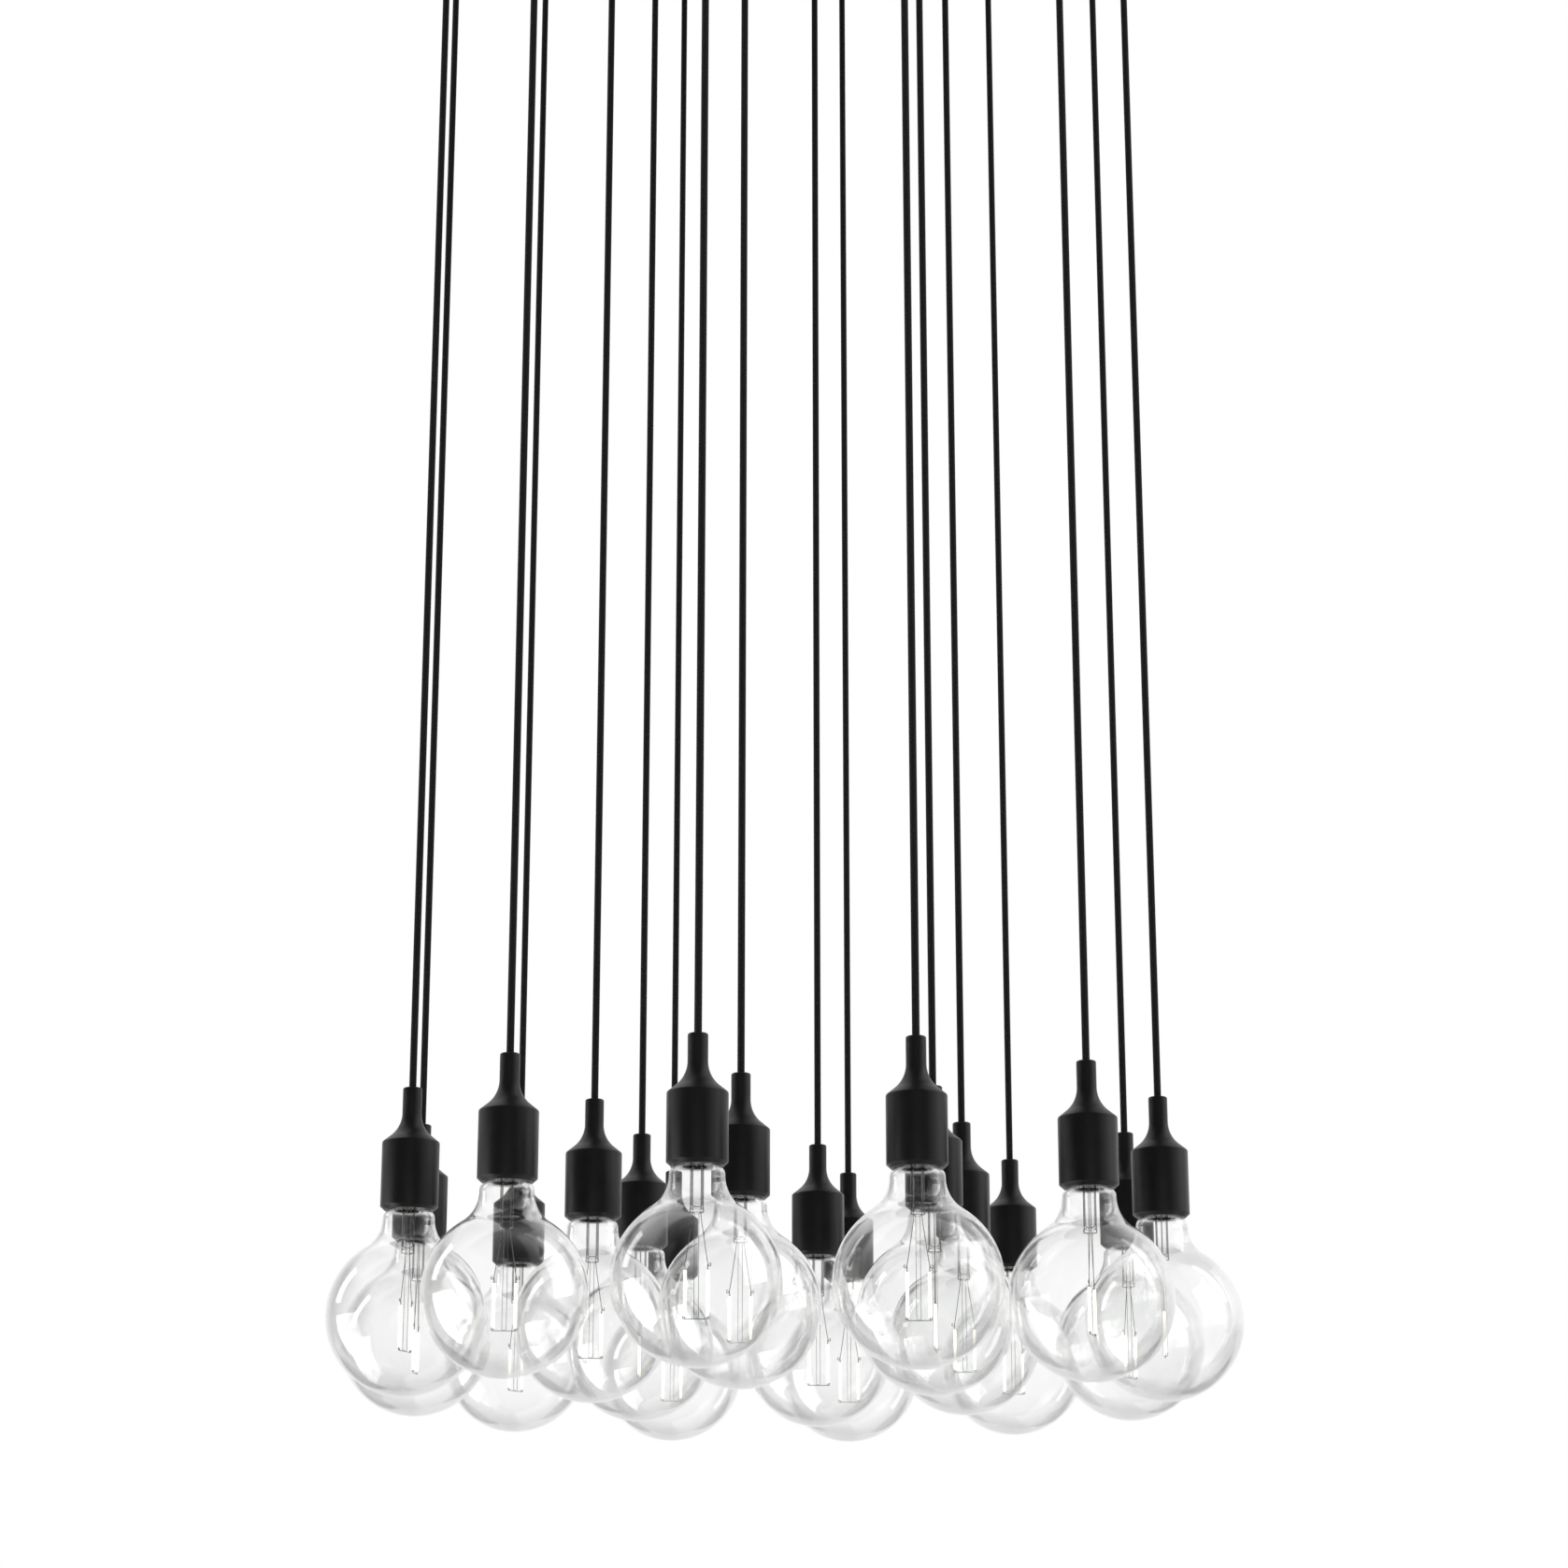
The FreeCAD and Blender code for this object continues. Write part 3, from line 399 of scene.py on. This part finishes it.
def tube(name, points, radius, material):
    """A round wire along a line, with flat ends."""
    sides = 10
    points = [Vector(p) * MM for p in points]
    verts, faces = [], []
    ahead = (points[1] - points[0]).normalized()
    side = ahead.orthogonal().normalized()
    for n, point in enumerate(points):
        before, after = points[max(n - 1, 0)], points[min(n + 1, len(points) - 1)]
        onward = (after - before).normalized()
        side = (side - onward * side.dot(onward)).normalized()
        other = onward.cross(side)
        for k in range(sides):
            angle = 2 * math.pi * k / sides
            out = side * math.cos(angle) + other * math.sin(angle)
            verts.append(point + out * (radius * MM))
        if n:
            for k in range(sides):
                m = (k + 1) % sides
                a, b = (n - 1) * sides, n * sides
                faces.append((a + k, a + m, b + m, b + k))
    faces.append(tuple(reversed(range(sides))))
    faces.append(tuple(range(len(verts) - sides, len(verts))))
    mesh = bpy.data.meshes.new(name)
    mesh.from_pydata(verts, [], faces)
    mesh.update()
    return finished(mesh, material, 60)


def joined(name, meshes):
    """One mesh from several, each with its own material."""
    parts = [bpy.data.objects.new("part", mesh) for mesh in meshes]
    for part in parts:
        scene.collection.objects.link(part)
    with bpy.context.temp_override(active_object=parts[0], object=parts[0],
                                   selected_editable_objects=parts, selected_objects=parts):
        bpy.ops.object.join()
    mesh = parts[0].data
    bpy.data.objects.remove(parts[0])
    mesh.name = name
    return mesh


def block(name, low, high, material, edge):
    """A small moulded block with softened edges."""
    made = bmesh.new()
    bmesh.ops.create_cube(made, size=1.0)
    for vert in made.verts:
        vert.co = [(low[k] + (high[k] - low[k]) * (vert.co[k] + 0.5)) * MM for k in range(3)]
    bmesh.ops.bevel(made, geom=made.edges[:], offset=edge * MM, segments=2, affect="EDGES")
    mesh = bpy.data.meshes.new(name)
    made.to_mesh(mesh)
    made.free()
    return finished(mesh, material, 40)


# ---- Radii, and levels below the sleeve's top, as in the part ----

NECK, SLEEVE, BORE = 7.6, 22.75, 2.925
SHOULDER_FOOT, HOLDER_TOP, BUSH_TOP, CHAMBER_TOP = -45.074, -50.974, -41.974, -62.974
TIP_TOP, CAP_END, THREAD_TOP, SKIRT_TOP = -68.874, -70.874, -75.374, -89.894
CAP_RIM, MOUTH = -95.894, -98.394
PITCH, CREST, MIDDLE, THREAD_DEPTH = 3.63, 13.1, 12.65, 0.85
CHAMBER, DRIVER_FOOT = 13.8, CAP_END - 13
LEAD_WIRE, STRIP_WIRE = 0.28, 0.34
GLOBE_LEVEL, GLOBE, NECK_GLASS, WALL = -181.494, 62.5, 20.5, 0.9
STUB, STUB_TOP = 12.75, -90.494
STEM_TOP, STEM_END, ROD_END = -91.394, -132.394, -208.494
LEAD_X, STRIP_X = 3.0, 8.1
STRIP_FOOT, STRIP_HEAD = -206.894, -173.894


def make_sleeve():
    """Soft silicone sleeve: rolled neck, flared shoulder, straight sides and chamfered mouth."""
    slope = math.radians(39)
    flare, corner = 23.8, 2.0
    flare_centre = (NECK + flare, -20.5)
    corner_centre = (SLEEVE - corner, SHOULDER_FOOT)
    inside = SLEEVE - 2.6
    profile = [(BORE, 0), (BORE, BUSH_TOP), (5.55, BUSH_TOP), (inside, HOLDER_TOP),
               (inside, MOUTH + 3), (17, MOUTH + 3), (17, MOUTH + 0.3)]
    profile += arc((17.3, MOUTH + 0.3), 0.3, 180, 270, 3)
    profile += arc((19.25, MOUTH + 0.5), 0.5, 270, 317, 3)
    profile += arc((SLEEVE - 0.6, MOUTH + 3.25), 0.6, 317, 360, 4)
    profile += [(SLEEVE, SHOULDER_FOOT - 20)]
    profile += arc(corner_centre, corner, 0, math.degrees(math.pi / 2 - slope), 6)
    profile += list(reversed(arc(flare_centre, flare, 180, 270 - math.degrees(slope), 20)))
    profile += [(NECK, -8)]
    profile += arc((NECK - 1.4, -1.4), 1.4, 0, 90, 6)
    profile += [(BORE + 0.3, 0)]
    return lathe("sleeve", profile, M["silicone"], 96, smooth=30)


def threaded(turns_foot, turns_top):
    """A screw thread between two levels, as a helix, faded in and out over half a turn."""
    def shape(across, up, angle):
        if not turns_foot < up < turns_top:
            return across, up
        wave = 0.5 * math.cos(2 * math.pi * (up / PITCH - angle / (2 * math.pi)))
        fade = min(1.0, (up - turns_foot) / (PITCH / 2), (turns_top - up) / (PITCH / 2))
        return across + THREAD_DEPTH * wave * fade, up
    return shape


def thread_levels(low, high):
    """Levels close enough together to carry the thread, about 0.45 mm apart."""
    count = round((high - low) / 0.45)
    return [low + (high - low) * n / count for n in range(count + 1)]


def make_holder():
    inside = SLEEVE - 2.65
    insert = lathe("holder_insert", [
        (BORE, BUSH_TOP), (BORE, CHAMBER_TOP), (CHAMBER, CHAMBER_TOP), (CHAMBER, MOUTH + 3),
        (inside - 0.4, MOUTH + 3), (inside, MOUTH + 3.4), (inside, HOLDER_TOP), (5.5, BUSH_TOP),
    ], M["bakelite"])
    top = CHAMBER_TOP - 1.3
    levels = thread_levels(SKIRT_TOP, THREAD_TOP)
    middle = MIDDLE + 0.3
    profile = [(8, top), (8, top - 0.4), (middle, top - 0.4)]
    profile += [(middle, z) for z in reversed(levels)] + [(middle + 0.4, z) for z in levels]
    profile += [(middle + 0.4, top - 0.4), (CHAMBER, top - 0.4), (CHAMBER, top)]
    shell = lathe("holder_shell", profile, M["brass"], shape=threaded(SKIRT_TOP, THREAD_TOP))
    contact = lathe("holder_contact", [
        (0, TIP_TOP), (4.2, TIP_TOP), (4.5, TIP_TOP + 0.3), (4.5, TIP_TOP + 1.4), (0.8, top - 0.4),
        (0.8, CORD_END - SOCKET_TOP), (0, CORD_END - SOCKET_TOP),
    ], M["brass"], 32, closed=False)
    return joined("holder", [insert, shell, contact])


def make_cap():
    levels = thread_levels(SKIRT_TOP, THREAD_TOP)
    thin = 0.3
    profile = [(CREST, CAP_RIM), (CREST, SKIRT_TOP - 0.2), (MIDDLE, SKIRT_TOP)]
    profile += [(MIDDLE, z) for z in levels]
    profile += [(7.8, CAP_END), (7.5, CAP_END), (MIDDLE - thin, THREAD_TOP)]
    profile += [(MIDDLE - thin, z) for z in reversed(levels)]
    profile += [(CREST - thin, SKIRT_TOP - 0.3), (CREST - thin, CAP_RIM)]
    cap = lathe("cap", profile, M["nickel"], 96, shape=threaded(SKIRT_TOP, THREAD_TOP))
    insulator = lathe("insulator", [
        (0, CAP_END - 2), (9.6, CAP_END - 2), (7.5, CAP_END), (7.5, TIP_TOP - 1.7),
        (7.1, TIP_TOP - 1.4), (0, TIP_TOP - 1.4),
    ], M["black_glass"], 48, closed=False)
    tip = lathe("tip", [(0, TIP_TOP - 1.4), (5, TIP_TOP - 1.4), (5, TIP_TOP - 0.9)]
                + arc((4.1, TIP_TOP - 0.9), 0.9, 0, 90, 5) + [(0, TIP_TOP)],
                M["solder"], 48, closed=False)
    return joined("cap", [cap, insulator, tip])


def make_driver():
    """The small driver board that stands in the cap, with its parts on both faces."""
    foot, head = DRIVER_FOOT, CAP_END - 2
    board = block("board", (-7, -0.5, foot), (7, 0.3, head), M["board"], 0.1)
    chips = [block("chip", (-5.5, 0.3, foot + 5.5), (-1.5, 0.8, foot + 9), M["chip"], 0.12),
             block("chip", (1.5, 0.3, foot + 6.5), (4.5, 0.75, foot + 8.5), M["chip"], 0.12),
             block("chip", (-2.0, -0.8, foot + 4.5), (2.5, -0.5, foot + 8.5), M["chip"], 0.1)]
    pads = [block("pad", (x - 0.7, 0.3, foot + 0.6), (x + 0.7, 0.5, foot + 2.2), M["solder"], 0.08)
            for x in (-LEAD_X, 0, LEAD_X)]
    return joined("driver", [board, *chips, *pads])


def make_globe():
    """Blown envelope with a real wall: globe, flare, neck, shoulder and the stub in the cap."""
    flare = 28.0
    across, reach = NECK_GLASS + flare, GLOBE + flare
    level = GLOBE_LEVEL + math.sqrt(reach**2 - across**2)
    lean = math.degrees(math.atan2(level - GLOBE_LEVEL, across))
    shoulder = (NECK_GLASS - 6, MOUTH - 6)
    profile = arc((0, GLOBE_LEVEL), GLOBE, -90, lean, 60)
    profile += arc((across, level), flare, 180 + lean, 180, 16)[1:]
    profile += arc(shoulder, 6, 0, 90, 8)
    profile += arc((STUB + 0.6, MOUTH + 0.6), 0.6, 270, 180, 4)
    profile += [(STUB, STUB_TOP), (STUB - WALL, STUB_TOP)]
    profile += [(STUB - WALL, MOUTH - WALL + 0.3), (STUB - WALL + 0.5, MOUTH - WALL)]
    profile += arc(shoulder, 6 - WALL, 90, 0, 8)[1:]
    profile += arc((across, level), flare + WALL, 180, 180 + lean, 16)
    profile += arc((0, GLOBE_LEVEL), GLOBE - WALL, lean, -90, 60)[1:]
    profile[0] = (0, profile[0][1])
    profile[-1] = (0, profile[-1][1])
    return lathe("globe", profile, M["globe"], 128, closed=False, smooth=60)


def make_stem():
    """Flared glass stem with its pinched bead, and the rod that carries the strips."""
    flare_foot = STEM_TOP - 4.9
    inside = STUB - WALL
    profile = [(0, ROD_END), (1.2, ROD_END), (1.85, ROD_END + 0.6), (1.85, STEM_END - 1.2),
               (2.6, STEM_END - 0.2)]
    profile += arc((4.6, STEM_END + 0.7), 0.7, 270, 360, 4)
    profile += arc((4.6, STEM_END + 2.6), 0.7, 0, 90, 4)
    profile += arc((4.3, STEM_END + 4.0), 0.7, 270, 360, 4)
    profile += [(5, flare_foot - 6)]
    profile += arc((12.0, flare_foot - 2), 7.0, 180, 115, 8)
    profile += [(inside - 0.05, STEM_TOP - 0.9), (inside - 0.05, STEM_TOP), (inside - 0.9, STEM_TOP)]
    profile += arc((12.0, flare_foot - 2), 7.9, 115, 180, 8)
    profile += [(4.1, STEM_END + 6.2), (3.2, STEM_END + 4.6), (0, STEM_END + 4.2)]
    return lathe("stem", profile, M["stem"], 48, closed=False, smooth=60)


def make_wires():
    """Two leads that flare out under the stem and end in small hooks, and the curled cross wire."""
    pieces = []
    for side in (-1, 1):
        line = [(side * LEAD_X, 0, DRIVER_FOOT), (side * LEAD_X, 0, STEM_END + 6),
                (side * LEAD_X, 0, STEM_END - 3), (side * 5.2, 0, STEM_END - 17),
                (side * 7.4, 0, STRIP_HEAD + 9.0), (side * 8.2, 0, STRIP_HEAD + 4.6),
                (side * 9.4, 0, STRIP_HEAD + 2.6), (side * 10.6, 0, STRIP_HEAD + 3.4),
                (side * 10.4, 0, STRIP_HEAD + 5.0), (side * 9.4, 0, STRIP_HEAD + 5.0)]
        pieces.append(tube("lead", curve_points(line), LEAD_WIRE, M["wire"]))
        drop = [(side * 8.3, 0, STRIP_HEAD + 4.2), (side * STRIP_X, 0, STRIP_HEAD + 2.4),
                (side * STRIP_X, 0, STRIP_HEAD - 0.4)]
        pieces.append(tube("drop", curve_points(drop), STRIP_WIRE, M["wire"]))
    foot, level = STRIP_FOOT, ROD_END - 0.4
    line = [(-9.0, 0, foot + 0.9), (-9.9, 0, level + 0.9), (-8.9, 0, level - 0.1), (-5, 0, level),
            (0, 0, level - 0.1), (5, 0, level), (8.9, 0, level - 0.1), (9.9, 0, level + 0.9),
            (9.0, 0, foot + 0.9)]
    pieces.append(tube("cross", curve_points(line), LEAD_WIRE, M["wire"]))
    for side in (-1, 1):
        stub = [(side * STRIP_X, 0, foot + 0.4), (side * STRIP_X, 0, level)]
        pieces.append(tube("foot", stub, STRIP_WIRE, M["wire"]))
    return joined("wires", pieces)


def make_strips():
    pieces = []
    for side in (-1, 1):
        profile = [(0, STRIP_FOOT), (0.7, STRIP_FOOT), (1.15, STRIP_FOOT + 0.5),
                   (1.15, STRIP_HEAD - 0.5), (0.7, STRIP_HEAD), (0, STRIP_HEAD)]
        strip = lathe("strip", profile, M["phosphor"], 20, closed=False, smooth=60)
        strip.transform(Matrix.Translation((side * STRIP_X * MM, 0, 0)))
        pieces.append(strip)
    return joined("strips", pieces)


# ---- Cords ----

for n, (radius, angle, _) in enumerate(LAMPS, start=1):
    number = f"{n:02d}"
    data = bpy.data.curves.new(f"braided_cord_{number}", "CURVE")
    data.dimensions = "3D"
    data.bevel_depth = CORD_DIAMETER / 2 * MM
    data.bevel_resolution = 5
    data.use_fill_caps = True
    data.materials.append(M["braid"])
    across = radius * math.cos(math.radians(angle)) * MM
    away = radius * math.sin(math.radians(angle)) * MM
    spline = data.splines.new("NURBS")
    spline.points.add(1)
    spline.points[0].co = (across, away, CORD_TOP * MM, 1)
    spline.points[1].co = (across, away, CORD_END * MM, 1)
    spline.order_u = 3
    spline.use_endpoint_u = True
    cord = bpy.data.objects.new(f"braided_cord_{number}", data)
    scene.collection.objects.link(cord)
    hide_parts(f"cord_{number}")
    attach(cord, f"lamp_{number}")


# ---- Lamps ----

LAMPHOLDER = {"sleeve": make_sleeve(), "holder": make_holder()}
BULB = {"cap": make_cap(), "driver": make_driver(), "globe": make_globe(), "stem": make_stem(),
        "wires": make_wires(), "strips": make_strips()}

for n, (radius, angle, turn) in enumerate(LAMPS, start=1):
    number = f"{n:02d}"
    swing = Matrix.Rotation(math.radians(angle), 4, "Z")
    place = swing @ Matrix.Translation((radius * MM, 0, SOCKET_TOP * MM))
    back = Matrix.Rotation(math.radians(turn - angle), 4, "Z")
    for node, slot, pieces, matrix in (
            ("lampholder", "socket_silicone", LAMPHOLDER, place),
            ("bulb", "bulb_glass", BULB, place @ back)):
        for kind, mesh in pieces.items():
            piece = bpy.data.objects.new(f"{kind}_{number}", mesh)
            scene.collection.objects.link(piece)
            piece.matrix_world = matrix
            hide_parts(f"{node}_{number}")
            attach(piece, f"lamp_{number}")


# ---- Canopy and what it holds ----

for node, kind in (("canopy_cover", "paint"), ("ceiling_bracket", "zinc"),
                   ("canopy_screws", "screw"), ("cord_grips", "black_plastic"),
                   ("cord_tails", "tail"), ("junction_box", "pale_plastic"),
                   ("junction_lid", "pale_plastic"), ("junction_fittings", "pale_plastic")):
    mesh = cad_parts[node]
    mesh.data.materials.clear()
    mesh.data.materials.append(M[kind])


# ---- Floor, world and lights ----

FLOOR_LEVEL, FLOOR_REACH = -3.3, 30
FADE_START, FADE_END = 1.5, 9.0
PLAIN_LIGHT = 0.92

floor_mesh = bpy.data.meshes.new("floor")
corners = [(x * FLOOR_REACH, y * FLOOR_REACH, 0) for x, y in ((-1, -1), (1, -1), (1, 1), (-1, 1))]
floor_mesh.from_pydata(corners, [], [(0, 1, 2, 3)])
floor = bpy.data.objects.new("floor", floor_mesh)
floor.location.z = FLOOR_LEVEL
scene.collection.objects.link(floor)


def make_floor_paint():
    """Pale paint that keeps the shadow, and for the camera fades to the white of the background
    further out. Glossy rays pass through it, to the studio of make_world."""
    material, nodes = new_material("pale_floor")
    spot = nodes.add("ShaderNodeTexCoord").outputs["Object"]
    rays = nodes.add("ShaderNodeLightPath")
    cloud = nodes.noise(spot, 3, 3)
    paint = nodes.add("ShaderNodeBsdfPrincipled", None, Roughness=0.8,
                      Base_Color=nodes.blend(cloud, rgba(0.86), rgba(0.88)))
    nodes.put(paint, "Specular IOR Level", 0.2)
    white = nodes.add("ShaderNodeEmission", None, Color=rgba(1.0), Strength=1.0)
    away = nodes.add("ShaderNodeVectorMath", {"operation": "LENGTH"}, i0=spot).outputs["Value"]
    far = nodes.math("MULTIPLY", nodes.span(away, FADE_START, FADE_END, smooth=True),
                     rays.outputs["Is Camera Ray"])
    faded = nodes.add("ShaderNodeMixShader", None, i0=far, i1=paint.outputs[0], i2=white.outputs[0])
    clear = nodes.add("ShaderNodeBsdfTransparent")
    mixed = nodes.add("ShaderNodeMixShader", None, i0=rays.outputs["Is Glossy Ray"],
                      i1=faded.outputs[0], i2=clear.outputs[0])
    nodes.put(nodes.add("ShaderNodeOutputMaterial"), "Surface", mixed.outputs[0])
    return material


floor_mesh.materials.append(make_floor_paint())


def make_world():
    """White to the camera, and plain light for the object. Glossy rays see a studio instead, which is
    not the white background: dark on the camera's side, grey at the left, paler at the right, bright
    behind with two darker patches low down, darker straight above, and with bright windows."""
    world = bpy.data.worlds.new("Studio")
    scene.world = world
    world.use_nodes = True
    nodes = Nodes(world.node_tree)
    way = nodes.add("ShaderNodeTexCoord").outputs["Generated"]
    split = nodes.add("ShaderNodeSeparateXYZ", None, Vector=way)
    x, y, z = split.outputs
    around = nodes.math("ARCTAN2", x, y)
    up = nodes.math("ARCSINE", z)

    def window(middle, width, low, high, soft):
        """1 inside a range of directions in degrees, round Z from +Y and up; soft is in radians."""
        middle, width = math.radians(middle), math.radians(width) / 2
        low, high = math.radians(low), math.radians(high)
        off = nodes.math("ABSOLUTE", nodes.math("SUBTRACT", around, middle))
        sides = nodes.span(off, width + soft, width, smooth=True)
        foot = nodes.span(up, low - soft, low, smooth=True)
        head = nodes.span(up, high + soft, high, smooth=True)
        return nodes.math("MULTIPLY", nodes.math("MULTIPLY", sides, foot), head)

    def spot(towards, inner, outer):
        along = nodes.add("ShaderNodeVectorMath", {"operation": "DOT_PRODUCT"}, i0=way,
                          i1=Vector(towards).normalized())
        return nodes.span(along.outputs["Value"], math.cos(math.radians(outer)),
                          math.cos(math.radians(inner)), smooth=True)

    def between(share, a, b):
        return nodes.add("ShaderNodeMix", {"data_type": "FLOAT"}, i0=share, i2=a, i3=b).outputs[0]

    high = nodes.span(z, -0.35, 0.15, smooth=True)
    sides = between(nodes.span(x, -0.3, 0.5), 0.24, 0.80)
    level = between(nodes.span(y, -0.45, 0.0, smooth=True), 0.10, between(high, 0.55, sides))
    level = between(nodes.span(y, 0.45, 0.95, smooth=True), level, between(high, 0.80, 0.95))
    level = nodes.math("MULTIPLY", level, nodes.span(z, 0.75, 0.95, 1.0, 0.35))
    for middle in (-32, 32):
        dark = nodes.span(window(middle, 26, -40, -13, 0.02), 0.0, 1.0, 1.0, 0.5)
        level = nodes.math("MULTIPLY", level, dark)
    for bright, patch in (
            (3.0, window(-91, 42, -46, 2, 0.015)),
            (1.7, window(-69, 12, 13, 40, 0.02)),
            (0.7, window(-60, 80, 45, 85, 0.30)),
            (1.2, window(80, 10, 20, 60, 0.05)),
            (0.5, window(108, 44, -50, 70, 0.15)),
            (0.8, spot((0.05, -1, -0.30), 18, 20))):
        level = nodes.math("ADD", level, nodes.math("MULTIPLY", patch, bright))
    rays = nodes.add("ShaderNodeLightPath")
    plain = nodes.add("ShaderNodeBackground", None, Color=rgba(1.0), Strength=PLAIN_LIGHT)
    seen = nodes.add("ShaderNodeBackground", None, Color=rgba(1.0), Strength=1.0)
    studio = nodes.add("ShaderNodeBackground", None, Color=rgba(1.0), Strength=level)
    mixed = nodes.add("ShaderNodeMixShader", None, i0=rays.outputs["Is Glossy Ray"],
                      i1=plain.outputs[0], i2=studio.outputs[0])
    white = nodes.math("MAXIMUM", rays.outputs["Is Camera Ray"], rays.outputs["Is Transmission Ray"])
    mixed = nodes.add("ShaderNodeMixShader", None, i0=white, i1=mixed.outputs[0], i2=seen.outputs[0])
    output = nodes.add("ShaderNodeOutputWorld")
    nodes.put(output, "Surface", mixed.outputs[0])


make_world()


def soft_light(name, location, target, size, power):
    data = bpy.data.lights.new(name, "AREA")
    data.shape = "RECTANGLE"
    data.size, data.size_y = size
    data.energy = power
    light = bpy.data.objects.new(name, data)
    light.location = location
    light.rotation_euler = (Vector(target) - Vector(location)).to_track_quat("-Z", "Y").to_euler()
    light.visible_camera = light.visible_glossy = False
    scene.collection.objects.link(light)


MIDDLE_OF_LAMPS = (0, 0, -1.45)
soft_light("key_right", (2.6, -1.2, -0.4), MIDDLE_OF_LAMPS, (1.4, 2.0), 28)
soft_light("fill_left", (-2.6, -1.6, -0.8), MIDDLE_OF_LAMPS, (1.2, 1.8), 9)
